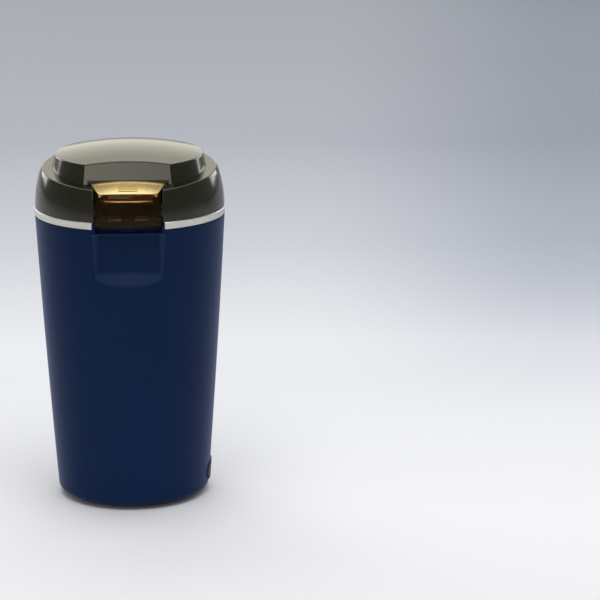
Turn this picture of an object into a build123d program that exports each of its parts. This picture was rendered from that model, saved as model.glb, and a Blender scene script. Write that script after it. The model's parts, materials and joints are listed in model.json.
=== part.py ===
from build123d import *
from math import cos, radians, sin, sqrt, tan
import os

# Electric spice grinder: a tapered housing with the motor and the grinding bowl in it,
# and a lift-off lid whose front button pushes a plunger down to the motor's switch.
# Millimetres. +Z is up, the button faces -Y, the origin is under the centre, on the table.

os.makedirs("parts", exist_ok=True)

# ---- clearances ---------------------------------------------------------------
slide_gap = 0.3            # around pieces that slide in a moulded guide
drop_gap = 0.2             # around pieces that drop into a seat
rest_gap = 0.1             # under a loose piece that rests on another
running_gap = 0.05         # shaft in a plain bearing
air_gap = 0.5              # armature in the stator

# ---- feet and base ------------------------------------------------------------
foot_drop = 1.0            # feet below the base cover
foot_r = 5.5
foot_sink = 1.2            # foot let into the base cover
foot_in = 12.8
base_flange_in = 3.4       # black rim under the housing
base_flange_t = 1.0
base_plug_t = 1.6          # plug part of the base cover, inside the housing
base_rim_h = 3.0           # upstanding rim of the plug
vent_count = 5
vent_pitch = 4.6
vent_w = 2.2
vent_len = 24.0

# ---- housing ------------------------------------------------------------------
shell_wall = 2.2
base_r = 36.8              # outer radius at the lower edge
ring_proud = 0.2           # outer radius at the top edge
side_bulge = 0.38          # outward bow of the side at half height
shoulder_z = 139.6         # top edge, under the trim ring
shell_round = 3.2          # rounding of the lower outer edge
lip_h = 3.0                # inward lip at the bottom
shadow_groove = 0.5        # dark line under the trim ring
post_in = 9.8              # posts for the base screws
post_r = 3.6
post_top_z = 17.0
screw_r = 1.5
screw_head_r = 2.9
screw_head_h = 1.9
pilot_r = 1.2
shank_r = 1.15
cross_len = 2.6            # cross recess of the heads
cross_w = 0.6
base_screw_len = 11.0
motor_screw_len = 9.0
carrier_screw_bite = 5.0   # thread below the lug
switch_screw_bite = 2.2

# ---- front pocket and notch ---------------------------------------------------
pocket_depth = 6.8         # flat floor of the pocket, from the axis
pocket_half = 13.9
pocket_drop = 20.4
pocket_bevel_x = 1.4       # sideways run of the side bevels per mm of depth
pocket_fall = 7.6          # level at which the lower bevel meets the outside
pocket_wall = 1.6
pocket_wall_low = 3.0      # depth of the wall under the lower bevel
pocket_round = 1.2         # between the bevels
pocket_soft = 1.6          # rounding of the pocket's outer edge
sill_round = 0.4           # between the pocket's floor and the notch
notch_drop = 2.8           # floor of the notch that the button sinks into
notch_depth = 3.8
notch_back_t = 1.2
front_drop = 0.1           # housing beside the button, in the gap of the ring
ring_gap_half = 17.1

# ---- trim ring ----------------------------------------------------------------
ring_reach = 14.0
ring_h = 3.4
ring_width = 2.4
ring_edge = 0.25

# ---- bowl ---------------------------------------------------------------------
bowl_r = 32.0              # inside radius at the rim
bowl_wall = 0.8
bowl_draft = 1.6           # smaller by this much at the floor
bowl_h = 39.0              # underside of the floor
bowl_round = 8.0
bowl_flange_w = 3.8
bowl_rim_proud = 0.2

# ---- carrier: the inner frame that holds bowl, motor and switch ----------------
skirt_gap = 0.4
skirt_wall = 1.4
deck_t = 2.2
carrier_floor_t = 2.6
carrier_boss_r = 3.2
carrier_boss_gap = 0.5
carrier_boss_h = 8.0
lug_t = 2.4
lug_w = 8.0
deck_rib_count = 10         # none in front, behind the pocket

# ---- shaft, blade and bowl bush -------------------------------------------------
shaft_r = 3.0
shaft_below = 3.8
stud_r = 2.5               # threaded top end of the shaft
bush_r = 6.0
bush_flange_r = 9.5
bush_flange_t = 2.2
bush_above_floor = 4.2
nut_h = 3.0
nut_flats = 16.0
gasket_r = 14.0
gasket_h = 1.2
seal_r = 5.4
seal_h = 1.6
hub_h = 2.4
hub_r = 5.0
blade_t = 1.4
blade_w = 13.0
blade_tip_w = 7.5
blade_reach = 27.0
blade_root = 9.0           # half length of the flat middle
blade_lift = 3.2
blade_twist = 22.0         # degrees
cap_nut_h = 4.6
cap_nut_flats = 9.0

# ---- motor --------------------------------------------------------------------
stack_drop = 36.4
stack_h = 24.0
stator_side = 50.0
stator_corner = 6.0
window_x = 20.0            # half sizes of the opening inside the yoke
window_y = 17.5
pole_half = 8.0
shoe_t = 2.8
shoe_angle = 52.0
bore_r = 15.2
coil_gap = 0.3
coil_t = 3.6
coil_w = 5.4
coil_over = 6.4            # coil ends beyond the stack
slot_count = 12
slot_w = 2.4
slot_root_r = 8.6
winding_over = 6.6
winding_r = 13.2
winding_below = 8.4
commutator_r = 8.5
commutator_lift = 4.0
commutator_h = 10.6
commutator_slit = 0.5
fan_r = 20.0
fan_disc_t = 1.0
fan_hub_h = fan_disc_t + 1.4   # the disc and the boss on it
fan_gap = 1.0
fan_blade_h = 3.0
fan_blades = 9
fan_hub_r = 6.0
bearing_r = 5.6
bearing_h = 6.4
bracket_t = 3.0
bracket_boss_r = 8.2
leg_side = 7.2
leg_centre = 20.0
ear_circle_r = 26.5
ear_r = 5.0
upper_vent_r = 16.0        # circle that the upper bracket's air slots lie on
upper_vent_size = (13.0, 6.0)
lower_vent_r = 17.0        # the same for the lower bracket
lower_vent_size = (14.0, 8.0)
lower_bar_w = 9.0          # bar across the lower bracket that carries the bearing
brush_seat_x = 18.0
brush_seat_size = (11.0, 7.0)
shaft_room = 0.4           # radial room of the shaft in the brackets
damper_h = 3.0
upper_plate_drop = 8.0
bracket_span = 60.0
bolt_x = 21.0
bolt_y = 20.6
bolt_r = 1.6
bolt_head_r = 2.8
brush_side = 5.0
brush_len = 9.5
holder_wall = 1.3
holder_out = 27.0
brush_lift = 5.2
brush_spring_r = 1.9
spring_wire_r = 0.3
brush_turns = 3
plunger_spring_r = 1.5
plunger_turns = 4
button_turns = 4

# ---- switch -------------------------------------------------------------------
switch_w = 18.0
switch_t = 5.8
switch_h = 10.0
switch_drop = 16.4
switch_pin_x = 5.6
switch_pin_r = 1.1
terminal_w = 3.2
terminal_len = 6.0
terminal_t = 0.6
lever_reach = 15.0
lever_w = 3.4
lever_t = 0.4
lever_angle = 14.0         # slope of the leaf at rest
lever_knuckle_r = 0.8
actuator_x = -2.5
actuator_w = 2.0
actuator_d = 3.0
plunger_w = 8.0
plunger_t = 1.6
plunger_tip_x = 3.6
plunger_tip_w = 2.4
bracket_sheet = 1.4
bracket_tab = 7.8
switch_screw_x = 5.0

# ---- lid ----------------------------------------------------------------------
lid_step = 0.25            # outer radius at the ring
lid_waist_in = 0.65        # side wall, part way up
lid_waist_h = 8.2
lid_brow_in = 2.45         # where the side starts to turn in
lid_brow_h = 16.4
lid_turn_in = 6.95
lid_turn_h = 22.4
lid_cap_in = 15.75
lid_cap_h = 26.2
lid_wall = 2.2
crease_h = 20.0            # height of the sloping shelf over the axis
crease_slope = 7.2         # degrees, falling to the front
crown_in = 8.25            # plateau wall at its foot
crown_foot_h = 17.9
crown_draft = 13.0         # degrees
crown_facet_in = 6.5       # flat facet in front of the plateau, at its foot
crown_round = 3.0          # upright corners of the facet
crown_edge = 0.8           # rounding of the plateau's upper edge
dome_r = 150.0
dome_h = 30.0
dome_shift = 3.0           # dome's centre lies this far behind the axis
shelf_sink = 0.4           # plateau's hollow starts this far under the shelf
tube_wall = 2.0            # chamber wall that stands on the bowl
tube_gap = 0.6
seal_ring_h = 1.2
well_floor_h = 3.9
well_floor_t = 1.8
lid_rib_t = 1.8
crease_round = 0.7         # between shelf and side
slot_round = 0.3           # edges of the button's slot

# ---- button -------------------------------------------------------------------
button_half = 15.5
button_side_gap = 0.6      # to the lid, each side
button_edge = 0.7          # rounding of its upright edges
button_back_half = 18.9
button_back_gap = 0.4
button_waist_in = 8.25
button_below = 2.0
button_inset = 0.4         # front face behind the lid's side
button_wall = 2.3
button_side_wall = 2.0
button_roof = 2.0
travel = 3.0
plate_back_h = 16.3
plate_back_half = 17.5
plate_front_in = 3.75
plate_front_half = 13.6
plate_crown = 1.2          # rise of the middle over the sides, at the back
plate_front_crown = 0.3
plate_proud = 0.1          # over the button around it
plate_slope = 15.6         # degrees
plate_t = 1.5
plate_rim = 0.9
plate_dish = 0.35
grip_count = 3
grip_pitch = 1.9
grip_len = 9.0
grip_w = 0.8
apron_half = 11.5
apron_drop = 5.0
apron_t = 0.6
apron_in = 4.75
slider_half = 12.6
slider_lip_t = 1.4         # full-width strip at the foot of the slider
skirt_stop_gap = 3.5       # from the plunger tube to the end of the skirt
slider_in = 0.6
slider_t = 3.0
slider_top_h = 8.3
slider_bar_h = 2.7
slider_leg_x = 9.4
slider_leg_w = 1.3
prong_half = 3.2
button_spring_r = 1.4
button_spring_x = 4.5

# ---- cord outlet --------------------------------------------------------------
outlet_z = 10.3
outlet_w = 20.0
outlet_h = 8.5
outlet_proud = 0.7
outlet_lip = 0.8           # of the bushing over the housing's opening
outlet_inner_t = 1.2       # flange inside the housing
outlet_bore_r = 2.6

# ---- heights and radii that follow ---------------------------------------------
base_low_z = foot_drop
shell_z = base_low_z + base_flange_t
base_flange_r = base_r - base_flange_in
plug_r = base_flange_r - 2.0
post_circle_r = base_r - post_in
foot_circle_r = base_r - foot_in
ring_r = bowl_r + ring_reach
ring_inner_r = ring_r - ring_width
ring_top_z = shoulder_z + ring_h
shoulder_r = ring_r - ring_proud
pocket_floor_y = shoulder_r - pocket_depth
pocket_low_z = shoulder_z - pocket_drop
pocket_edge_z = pocket_low_z - pocket_fall
notch_half = button_half + slide_gap
notch_back_y = pocket_floor_y - notch_depth
notch_z = shoulder_z - notch_drop
front_top_z = ring_top_z - front_drop
bowl_rim_z = ring_top_z + bowl_rim_proud
bowl_floor_z = bowl_rim_z - bowl_h
bowl_flange_r = bowl_r + bowl_flange_w
bowl_flange_z = bowl_rim_z - bowl_wall
bowl_inner_floor_z = bowl_floor_z + bowl_wall
deck_z = bowl_flange_z - deck_t
deck_r = ring_inner_r - drop_gap
skirt_r = bowl_r + bowl_wall + skirt_gap
skirt_out_r = skirt_r + skirt_wall
carrier_boss_circle_r = skirt_out_r + carrier_boss_gap + carrier_boss_r
carrier_top_floor_z = bowl_floor_z - gasket_h
carrier_floor_z = carrier_top_floor_z - carrier_floor_t
notch_room_y = sqrt(skirt_r ** 2 - ring_gap_half ** 2) - 1
bush_top_z = bowl_inner_floor_z + bush_above_floor
hub_z = bush_top_z + seal_h + 0.4
blade_z = hub_z + hub_h
upper_plate_z = carrier_floor_z - upper_plate_drop
lower_plate_z = upper_plate_z - bracket_span
shaft_low_z = lower_plate_z - shaft_below
stack_low_z = upper_plate_z - stack_drop
stack_top_z = stack_low_z + stack_h
winding_low_z = stack_low_z - winding_below
commutator_low_z = lower_plate_z + commutator_lift
brush_z = commutator_low_z + brush_lift
armature_r = bore_r - air_gap
switch_low_z = carrier_floor_z - switch_drop
switch_y = -(notch_back_y + drop_gap + plunger_t / 2)
switch_top_z = switch_low_z + switch_h
lever_x = -switch_w / 2 + 1.2
lever_z = switch_top_z + lever_knuckle_r
plate_y = switch_y + switch_t / 2
switch_screw_y = plate_y + bracket_sheet + screw_head_r + drop_gap
lid_r = ring_r - lid_step
lid_low_z = ring_top_z + rest_gap
lid_waist_r = lid_r - lid_waist_in
lid_waist_z = lid_low_z + lid_waist_h
lid_brow_r = lid_r - lid_brow_in
lid_brow_z = lid_low_z + lid_brow_h
lid_turn_r = lid_r - lid_turn_in
lid_turn_z = lid_low_z + lid_turn_h
lid_cap_r = lid_r - lid_cap_in
lid_cap_z = lid_low_z + lid_cap_h
lid_slot_half = button_half + button_side_gap
crease_z = lid_low_z + crease_h
lid_tilt = Plane((0, 0, crease_z), x_dir=(1, 0, 0),
                 z_dir=(0, -sin(radians(crease_slope)), cos(radians(crease_slope))))
crown_r = lid_r - crown_in
crown_front_y = crown_r - crown_facet_in
crown_foot_z = lid_low_z + crown_foot_h
dome_top_z = lid_low_z + dome_h
tube_r = bowl_r + tube_gap
tube_out_r = tube_r + tube_wall
tube_low_z = bowl_rim_z + rest_gap + seal_ring_h
well_floor_z = lid_low_z + well_floor_h
button_back_y = crown_front_y + button_back_gap
button_waist_y = lid_r - button_waist_in
button_low_z = lid_low_z - button_below
plate_back_z = lid_low_z + plate_back_h
plate_front_y = lid_r - plate_front_in
plate_rise = tan(radians(plate_slope))
apron_y = lid_r - apron_in
slider_front_y = apron_y - slider_in
slider_back_y = slider_front_y - slider_t
slider_top_z = lid_low_z + slider_top_h
slider_bar_z = lid_low_z + slider_bar_h
plunger_top_z = button_low_z - 0.2


def shell_radius(z):
    """Outer radius of the housing at height z."""
    t = (z - shell_z) / (shoulder_z - shell_z)
    return base_r + (shoulder_r - base_r) * t + 4 * side_bulge * t * (1 - t)


def lid_side(inset):
    """Side of the lid as a closed outline in the (radius, height) plane, run on below its edge."""
    low_z = button_low_z - 1
    cap_z = lid_cap_z - inset
    with BuildLine() as outline:
        side = ThreePointArc(
            (lid_r - inset, lid_low_z),
            (lid_waist_r - inset, lid_waist_z),
            (lid_brow_r - inset, lid_brow_z),
        )
        brow = TangentArc(side @ 1, (lid_turn_r - inset, lid_turn_z - inset / 2), tangent=side % 1)
        TangentArc(brow @ 1, (lid_cap_r - inset, cap_z), tangent=brow % 1)
        Polyline((lid_cap_r - inset, cap_z), (0, cap_z), (0, low_z),
                 (lid_r - inset, low_z), (lid_r - inset, lid_low_z))
    return outline.line


def well_outline(front_half, back_half, back_y):
    """Plan of the button and of the well around it: straight in front, wider behind."""
    return [(-front_half, -lid_r - 1), (-front_half, -button_waist_y),
            (-back_half, -back_y), (back_half, -back_y),
            (front_half, -button_waist_y), (front_half, -lid_r - 1)]


def coil_spring(radius, wire_r, height, turns):
    """Compression spring on +Z, its lowest point at z = 0."""
    with BuildPart() as spring:
        with BuildLine() as path:
            Helix(pitch=(height - 2 * wire_r) / turns, height=height - 2 * wire_r,
                  radius=radius - wire_r, center=(0, 0, wire_r))
        with BuildSketch(Plane(path.line @ 0, z_dir=path.line % 0)):
            Circle(wire_r)
        sweep(path=path.line)
    return spring.part


def save(piece, label):
    """Label a finished piece and write it as one STEP file."""
    piece.label = label
    export_step(piece, f"parts/{label}.step")


# ---- housing ------------------------------------------------------------------
with BuildPart() as outer_form:
    with BuildSketch(Plane.XZ):
        with BuildLine():
            side = ThreePointArc(
                (base_r, shell_z),
                (shell_radius((shell_z + shoulder_z) / 2), (shell_z + shoulder_z) / 2),
                (shoulder_r, shoulder_z),
            )
            Polyline((shoulder_r, shoulder_z), (shoulder_r, front_top_z), (0, front_top_z),
                     (0, shell_z), (base_r, shell_z))
        make_face()
    revolve(axis=Axis.Z)
    low_edge = outer_form.edges().filter_by(GeomType.CIRCLE).sort_by(Axis.Z)[0]
    fillet(low_edge, shell_round)

with BuildPart() as inner_form:
    with BuildSketch(Plane.XZ):
        with BuildLine():
            low_z = shell_z + lip_h
            mid_z = (shell_z + shoulder_z) / 2
            ThreePointArc(
                (shell_radius(low_z) - shell_wall, low_z),
                (shell_radius(mid_z) - shell_wall, mid_z),
                (shoulder_r - shell_wall, shoulder_z),
            )
            Polyline((shoulder_r - shell_wall, shoulder_z), (shoulder_r - shell_wall, front_top_z),
                     (0, front_top_z), (0, shell_z), (plug_r + drop_gap, shell_z),
                     (plug_r + drop_gap, low_z), (shell_radius(low_z) - shell_wall, low_z))
        make_face()
    revolve(axis=Axis.Z)

def bevel_reach(radius):
    """Half width of the pocket where its side bevels come out at this radius."""
    start = pocket_half - pocket_bevel_x * pocket_floor_y
    steep = 1 + pocket_bevel_x ** 2
    depth = (sqrt(steep * radius ** 2 - start ** 2) - pocket_bevel_x * start) / steep
    return start + pocket_bevel_x * depth


def pocket_form(wall):
    """Form of the front pocket, or with a wall the form of the pocket and its wall."""
    floor_y = pocket_floor_y - wall
    floor_z = pocket_low_z - wall / pocket_wall * pocket_wall_low
    far_y = shoulder_r + 1
    top_z = front_top_z + 1
    with BuildPart() as form:
        # the lower bevel starts straight and ends level on the round outside
        edge_r = shell_radius(pocket_edge_z)
        for share in (-1, -0.5, 0, 0.5, 1):
            x = share * (bevel_reach(shoulder_r) + 1)
            skin_y = sqrt(edge_r ** 2 - min(abs(x), bevel_reach(edge_r)) ** 2)
            fall = (pocket_low_z - pocket_edge_z) / (skin_y - pocket_floor_y)
            front_y = sqrt(far_y ** 2 - x ** 2)
            front_z = floor_z - fall * (front_y - floor_y)
            with BuildSketch(Plane.YZ.offset(x)):
                with BuildLine():
                    Polyline((-floor_y, top_z), (-floor_y, floor_z), (-front_y, front_z),
                             (-front_y, top_z), close=True)
                make_face()
        loft()
        near_half = pocket_half + wall * (sqrt(1 + pocket_bevel_x ** 2) - pocket_bevel_x)
        far_half = near_half + pocket_bevel_x * (far_y - floor_y)
        with BuildSketch(Plane.XY.offset(pocket_edge_z - shoulder_r)):
            with BuildLine():
                Polyline((-near_half, -floor_y), (near_half, -floor_y), (far_half, -far_y),
                         (-far_half, -far_y), close=True)
            make_face()
        extrude(amount=top_z - pocket_edge_z + shoulder_r, mode=Mode.INTERSECT)
    return form.part


def is_sill(edge):
    """Edge between the pocket's floor and the notch's floor."""
    middle = edge.center()
    return abs(middle.Y + pocket_floor_y) < 0.01 and abs(middle.Z - notch_z) < 0.01


def is_corner(edge):
    """Edge between a side bevel and the lower bevel of the pocket."""
    middle = edge.center()
    return (pocket_edge_z < middle.Z < pocket_low_z and middle.Y < -pocket_floor_y
            and pocket_half < abs(middle.X) < ring_gap_half and edge.length > pocket_round)


def is_mouth(edge):
    """Edge of the pocket on the outside of the housing."""
    middle = edge.center()
    radius = sqrt(middle.X ** 2 + middle.Y ** 2)
    return (abs(radius - shell_radius(middle.Z)) < 0.5 and pocket_edge_z - 0.1 < middle.Z < notch_z - 1
            and middle.Y < -pocket_floor_y and abs(middle.X) < bevel_reach(shoulder_r))


# block behind the pocket and the notch, trimmed to the outer form
with BuildPart() as front_block:
    add(pocket_form(pocket_wall))
    floor_low_z = notch_z - pocket_wall
    with BuildSketch(Plane.XZ.offset(notch_back_y - notch_back_t)):
        with Locations((0, (floor_low_z + bowl_flange_z - drop_gap) / 2)):
            Rectangle(2 * (ring_gap_half - drop_gap), bowl_flange_z - drop_gap - floor_low_z)
    extrude(amount=pocket_floor_y - notch_back_y + notch_back_t)
    add(outer_form.part, mode=Mode.INTERSECT)

with BuildPart() as housing:
    add(outer_form.part)
    add(inner_form.part, mode=Mode.SUBTRACT)
    add(front_block.part)
    add(pocket_form(0), mode=Mode.SUBTRACT)
    # only the front keeps its height; elsewhere the trim ring sits on the shoulder
    for low_z, inner_r, high_z in ((shoulder_z, 0, front_top_z),
                                   (shoulder_z - shadow_groove, shoulder_r - shadow_groove, shoulder_z)):
        with BuildSketch(Plane.XY.offset(low_z)):
            Circle(ring_r + 1)
            if inner_r:
                Circle(inner_r, mode=Mode.SUBTRACT)
            with Locations((0, -ring_r)):
                Rectangle(2 * ring_gap_half, 2 * (ring_r - notch_back_y + notch_back_t), mode=Mode.SUBTRACT)
        extrude(amount=high_z - low_z, mode=Mode.SUBTRACT)
    # notch over the pocket
    with BuildSketch(Plane.XZ.offset(notch_back_y)):
        with Locations((0, (notch_z + front_top_z + 1) / 2)):
            Rectangle(2 * notch_half, front_top_z + 1 - notch_z)
    extrude(amount=shoulder_r, mode=Mode.SUBTRACT)
    # roundings: the sill under the notch, the pocket's corners, then its outer edge
    for radius, is_edge in ((sill_round, is_sill), (pocket_round, is_corner), (pocket_soft, is_mouth)):
        fillet(housing.edges().filter_by(is_edge), radius)
    # slot that the plunger stands in
    with BuildSketch(Plane.XY.offset(notch_z + 0.1)):
        with Locations((0, switch_y)):
            Rectangle(plunger_w + 2 * drop_gap, plunger_t + 2 * drop_gap)
    extrude(amount=-pocket_wall - 0.2, mode=Mode.SUBTRACT)
    # posts for the base screws, each tied to the wall by a rib
    with BuildSketch(Plane.XY.offset(shell_z + base_plug_t)) as posts:
        with PolarLocations(post_circle_r, 4, start_angle=45):
            Circle(post_r)
        with PolarLocations((post_circle_r + base_r) / 2, 4, start_angle=45):
            Rectangle(base_r - post_circle_r - 2, shell_wall)
    extrude(amount=post_top_z - shell_z - base_plug_t)
    with BuildSketch(Plane.XY.offset(shell_z)):
        with PolarLocations(post_circle_r, 4, start_angle=45):
            Circle(pilot_r)
    extrude(amount=post_top_z - shell_z - 2, mode=Mode.SUBTRACT)
    # lugs that carry the carrier's bosses
    lug_top_z = deck_z - carrier_boss_h
    lug_out_r = shell_radius(lug_top_z) - shell_wall / 2
    with BuildSketch(Plane.XY.offset(lug_top_z - lug_t)):
        with PolarLocations((skirt_out_r + 0.8 + lug_out_r) / 2, 4, start_angle=45):
            Rectangle(lug_out_r - skirt_out_r - 0.8, lug_w)
        with PolarLocations(carrier_boss_circle_r, 4, start_angle=45):
            Circle(screw_r + drop_gap, mode=Mode.SUBTRACT)
    extrude(amount=lug_t)
    # opening for the cord bushing
    with BuildSketch(Plane.YZ):
        with Locations((0, outlet_z)):
            SlotOverall(outlet_w - 2 * outlet_lip, outlet_h - 2 * outlet_lip)
    extrude(amount=shoulder_r, mode=Mode.SUBTRACT)
save(housing.part, "housing")

# ---- trim ring ----------------------------------------------------------------
with BuildPart() as trim_ring:
    with BuildSketch(Plane.XZ):
        with BuildLine():
            Polyline((ring_inner_r, shoulder_z), (ring_r - ring_edge, shoulder_z),
                     (ring_r, shoulder_z + ring_edge), (ring_r, ring_top_z - ring_edge),
                     (ring_r - ring_edge, ring_top_z), (ring_inner_r, ring_top_z), close=True)
        make_face()
    revolve(axis=Axis.Z)
    with BuildSketch(Plane.XY.offset(shoulder_z)):
        with Locations((0, -ring_r)):
            Rectangle(2 * ring_gap_half + 0.1, ring_r)
    extrude(amount=ring_h, mode=Mode.SUBTRACT)
save(trim_ring.part, "trim_ring")

# ---- base cover, screws and feet ------------------------------------------------
with BuildPart() as base_cover:
    with BuildSketch(Plane.XY.offset(base_low_z)):
        Circle(base_flange_r)
    extrude(amount=base_flange_t)
    with BuildSketch(Plane.XY.offset(shell_z)):
        Circle(plug_r)
    extrude(amount=base_plug_t - drop_gap)
    rim_z = shell_z + base_plug_t - drop_gap
    with BuildSketch(Plane.XY.offset(rim_z)):
        Circle(plug_r)
        Circle(plug_r - 1.4, mode=Mode.SUBTRACT)
        with PolarLocations(post_circle_r, 4, start_angle=45):
            Circle(post_r + 1, mode=Mode.SUBTRACT)
    extrude(amount=base_rim_h)
    with BuildSketch(Plane.XY.offset(base_low_z)):
        with GridLocations(0, vent_pitch, 1, vent_count):
            SlotOverall(vent_len, vent_w)
    extrude(amount=base_flange_t + base_plug_t, mode=Mode.SUBTRACT)
    with BuildSketch(Plane.XY.offset(base_low_z)):
        with PolarLocations(foot_circle_r, 4):
            Circle(foot_r + 0.1)
    extrude(amount=foot_sink, mode=Mode.SUBTRACT)
    with BuildSketch(Plane.XY.offset(base_low_z)):
        with PolarLocations(post_circle_r, 4, start_angle=45):
            Circle(screw_head_r + drop_gap)
    extrude(amount=screw_head_h * 0.6, mode=Mode.SUBTRACT)
    with BuildSketch(Plane.XY.offset(base_low_z)):
        with PolarLocations(post_circle_r, 4, start_angle=45):
            Circle(screw_r + drop_gap)
    extrude(amount=base_flange_t + base_plug_t, mode=Mode.SUBTRACT)
    edge = base_cover.edges().filter_by(GeomType.CIRCLE).group_by(Axis.Z)[0].sort_by(SortBy.RADIUS)[-1]
    chamfer(edge, 0.3)
save(base_cover.part, "base_cover")


def screw_set(places, length, head_up):
    """Pan-head screws; each place is the point under the head, the shank runs away from it."""
    with BuildPart() as screws:
        turn = 1 if head_up else -1
        for x, y, z in places:
            with BuildSketch(Plane((x, y, z), z_dir=(0, 0, turn))):
                Circle(screw_head_r)
            extrude(amount=screw_head_h * 0.55, taper=12)
            with BuildSketch(Plane((x, y, z), z_dir=(0, 0, -turn))):
                Circle(shank_r)
            extrude(amount=length)
            with BuildSketch(Plane((x, y, z + turn * screw_head_h), z_dir=(0, 0, -turn))):
                Rectangle(cross_len, cross_w)
                Rectangle(cross_w, cross_len)
            extrude(amount=screw_head_h * 0.85, mode=Mode.SUBTRACT)
    return screws.part


def ring_places(radius, count, start, z):
    """Points on a circle about the axis, the first at start degrees."""
    angles = [radians(start + 360 / count * i) for i in range(count)]
    return [(radius * cos(a), radius * sin(a), z) for a in angles]


base_screw_z = base_low_z + screw_head_h * 0.6
base_screws = screw_set(ring_places(post_circle_r, 4, 45, base_screw_z), base_screw_len, head_up=False)
save(base_screws, "base_screws")

with BuildPart() as rubber_feet:
    with BuildSketch():
        with PolarLocations(foot_circle_r, 4):
            Circle(foot_r)
    extrude(amount=foot_drop + foot_sink)
    chamfer(rubber_feet.edges().group_by(Axis.Z)[0], 0.4)
save(rubber_feet.part, "rubber_feet")

# ---- cord bushing ---------------------------------------------------------------
with BuildPart() as cord_bushing:
    outlet_r = shell_radius(outlet_z)
    inner_r = outlet_r - shell_wall
    with BuildSketch(Plane.YZ.offset(inner_r - 4)):
        with Locations((0, outlet_z)):
            SlotOverall(outlet_w, outlet_h)
    extrude(amount=8 + outlet_proud)
    with BuildSketch(Plane.XZ):
        with BuildLine():
            low, high = outlet_z - outlet_h, outlet_z + outlet_h
            rise = (shell_radius(high) - shell_radius(low))
            Polyline((inner_r - outlet_inner_t - rise / 2, low), (shell_radius(low) + outlet_proud, low),
                     (shell_radius(high) + outlet_proud, high),
                     (inner_r - outlet_inner_t + rise / 2, high), close=True)
        make_face()
    revolve(axis=Axis.Z, mode=Mode.INTERSECT)
    # groove that the housing wall sits in
    with BuildSketch(Plane.YZ.offset(inner_r - 5)):
        with Locations((0, outlet_z)):
            SlotOverall(outlet_w + 2, outlet_h + 2)
            SlotOverall(outlet_w - 2 * outlet_lip - drop_gap, outlet_h - 2 * outlet_lip - drop_gap,
                        mode=Mode.SUBTRACT)
    groove = extrude(amount=10, mode=Mode.PRIVATE)
    with BuildSketch(Plane.XZ):
        with BuildLine():
            Polyline((shell_radius(low) - shell_wall - 0.05, low), (shell_radius(low) + 0.05, low),
                     (shell_radius(high) + 0.05, high),
                     (shell_radius(high) - shell_wall - 0.05, high), close=True)
        make_face()
    wall_band = revolve(axis=Axis.Z, mode=Mode.PRIVATE)
    add(groove & wall_band, mode=Mode.SUBTRACT)
    with BuildSketch(Plane.YZ.offset(inner_r - 5)):
        with Locations((0, outlet_z)):
            Circle(outlet_bore_r)
    extrude(amount=12, mode=Mode.SUBTRACT)
save(cord_bushing.part, "cord_bushing")

# ---- carrier --------------------------------------------------------------------
with BuildPart() as bowl_carrier:
    with BuildSketch(Plane.XY.offset(carrier_floor_z)):
        Circle(skirt_out_r)
    extrude(amount=bowl_flange_z - carrier_floor_z)
    with BuildSketch(Plane.XY.offset(deck_z)):
        Circle(deck_r)
    extrude(amount=deck_t)
    with BuildSketch(Plane.XY.offset(deck_z - carrier_boss_h)):
        with PolarLocations(carrier_boss_circle_r, 4, start_angle=45):
            Circle(carrier_boss_r)
    extrude(amount=carrier_boss_h)
    with BuildSketch(Plane.XY.offset(deck_z - 6)):
        with PolarLocations((skirt_r + deck_r) / 2, deck_rib_count, start_angle=-45,
                            angular_range=270, endpoint=True):
            Rectangle(deck_r - skirt_r - 2, 1.4)
    extrude(amount=6)
    with BuildSketch(Plane.XY.offset(carrier_top_floor_z)):
        Circle(skirt_r)
    extrude(amount=bowl_flange_z - carrier_top_floor_z, mode=Mode.SUBTRACT)
    with BuildSketch(Plane.XY.offset(carrier_floor_z)):
        Circle(bush_r + drop_gap)
    extrude(amount=carrier_floor_t, mode=Mode.SUBTRACT)
    # posts over the motor's rubber mounts
    with BuildSketch(Plane.XY.offset(upper_plate_z + bracket_t + damper_h)):
        with PolarLocations(ear_circle_r, 3, start_angle=90):
            Circle(ear_r)
    extrude(until=Until.NEXT)
    with BuildSketch(Plane.XY.offset(upper_plate_z)):
        with PolarLocations(ear_circle_r, 3, start_angle=90):
            Circle(pilot_r)
    extrude(amount=carrier_top_floor_z - upper_plate_z - 1, mode=Mode.SUBTRACT)
    with BuildSketch(Plane.XY.offset(deck_z - carrier_boss_h)):
        with PolarLocations(carrier_boss_circle_r, 4, start_angle=45):
            Circle(pilot_r)
    extrude(amount=carrier_boss_h - 1, mode=Mode.SUBTRACT)
    # room for the notch in front
    with BuildSketch(Plane.XY.offset(notch_z - pocket_wall - drop_gap)):
        with Locations((0, -ring_r)):
            Rectangle(2 * ring_gap_half, 2 * (ring_r - notch_room_y))
    extrude(amount=bowl_rim_z - notch_z + pocket_wall, mode=Mode.SUBTRACT)
    with BuildSketch(Plane.XY.offset(carrier_floor_z)):
        with Locations((-switch_screw_x, switch_screw_y), (switch_screw_x, switch_screw_y)):
            Circle(pilot_r)
    extrude(amount=carrier_floor_t - 0.3, mode=Mode.SUBTRACT)
    # guide ribs beside the plunger
    with BuildSketch(Plane.XY.offset(carrier_floor_z)):
        rib_front = pocket_floor_y - pocket_wall - slide_gap
        rib_root = skirt_r + skirt_wall / 2
        for turn in (-1, 1):
            with Locations((turn * (plunger_w / 2 + drop_gap + 0.8), -(rib_front + rib_root) / 2)):
                Rectangle(1.6, rib_front - rib_root)
    extrude(amount=notch_z - pocket_wall - 2 - carrier_floor_z)
save(bowl_carrier.part, "bowl_carrier")

carrier_screws = screw_set(
    ring_places(carrier_boss_circle_r, 4, 45, lug_top_z - lug_t), lug_t + carrier_screw_bite, head_up=False)
save(carrier_screws, "carrier_screws")

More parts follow.
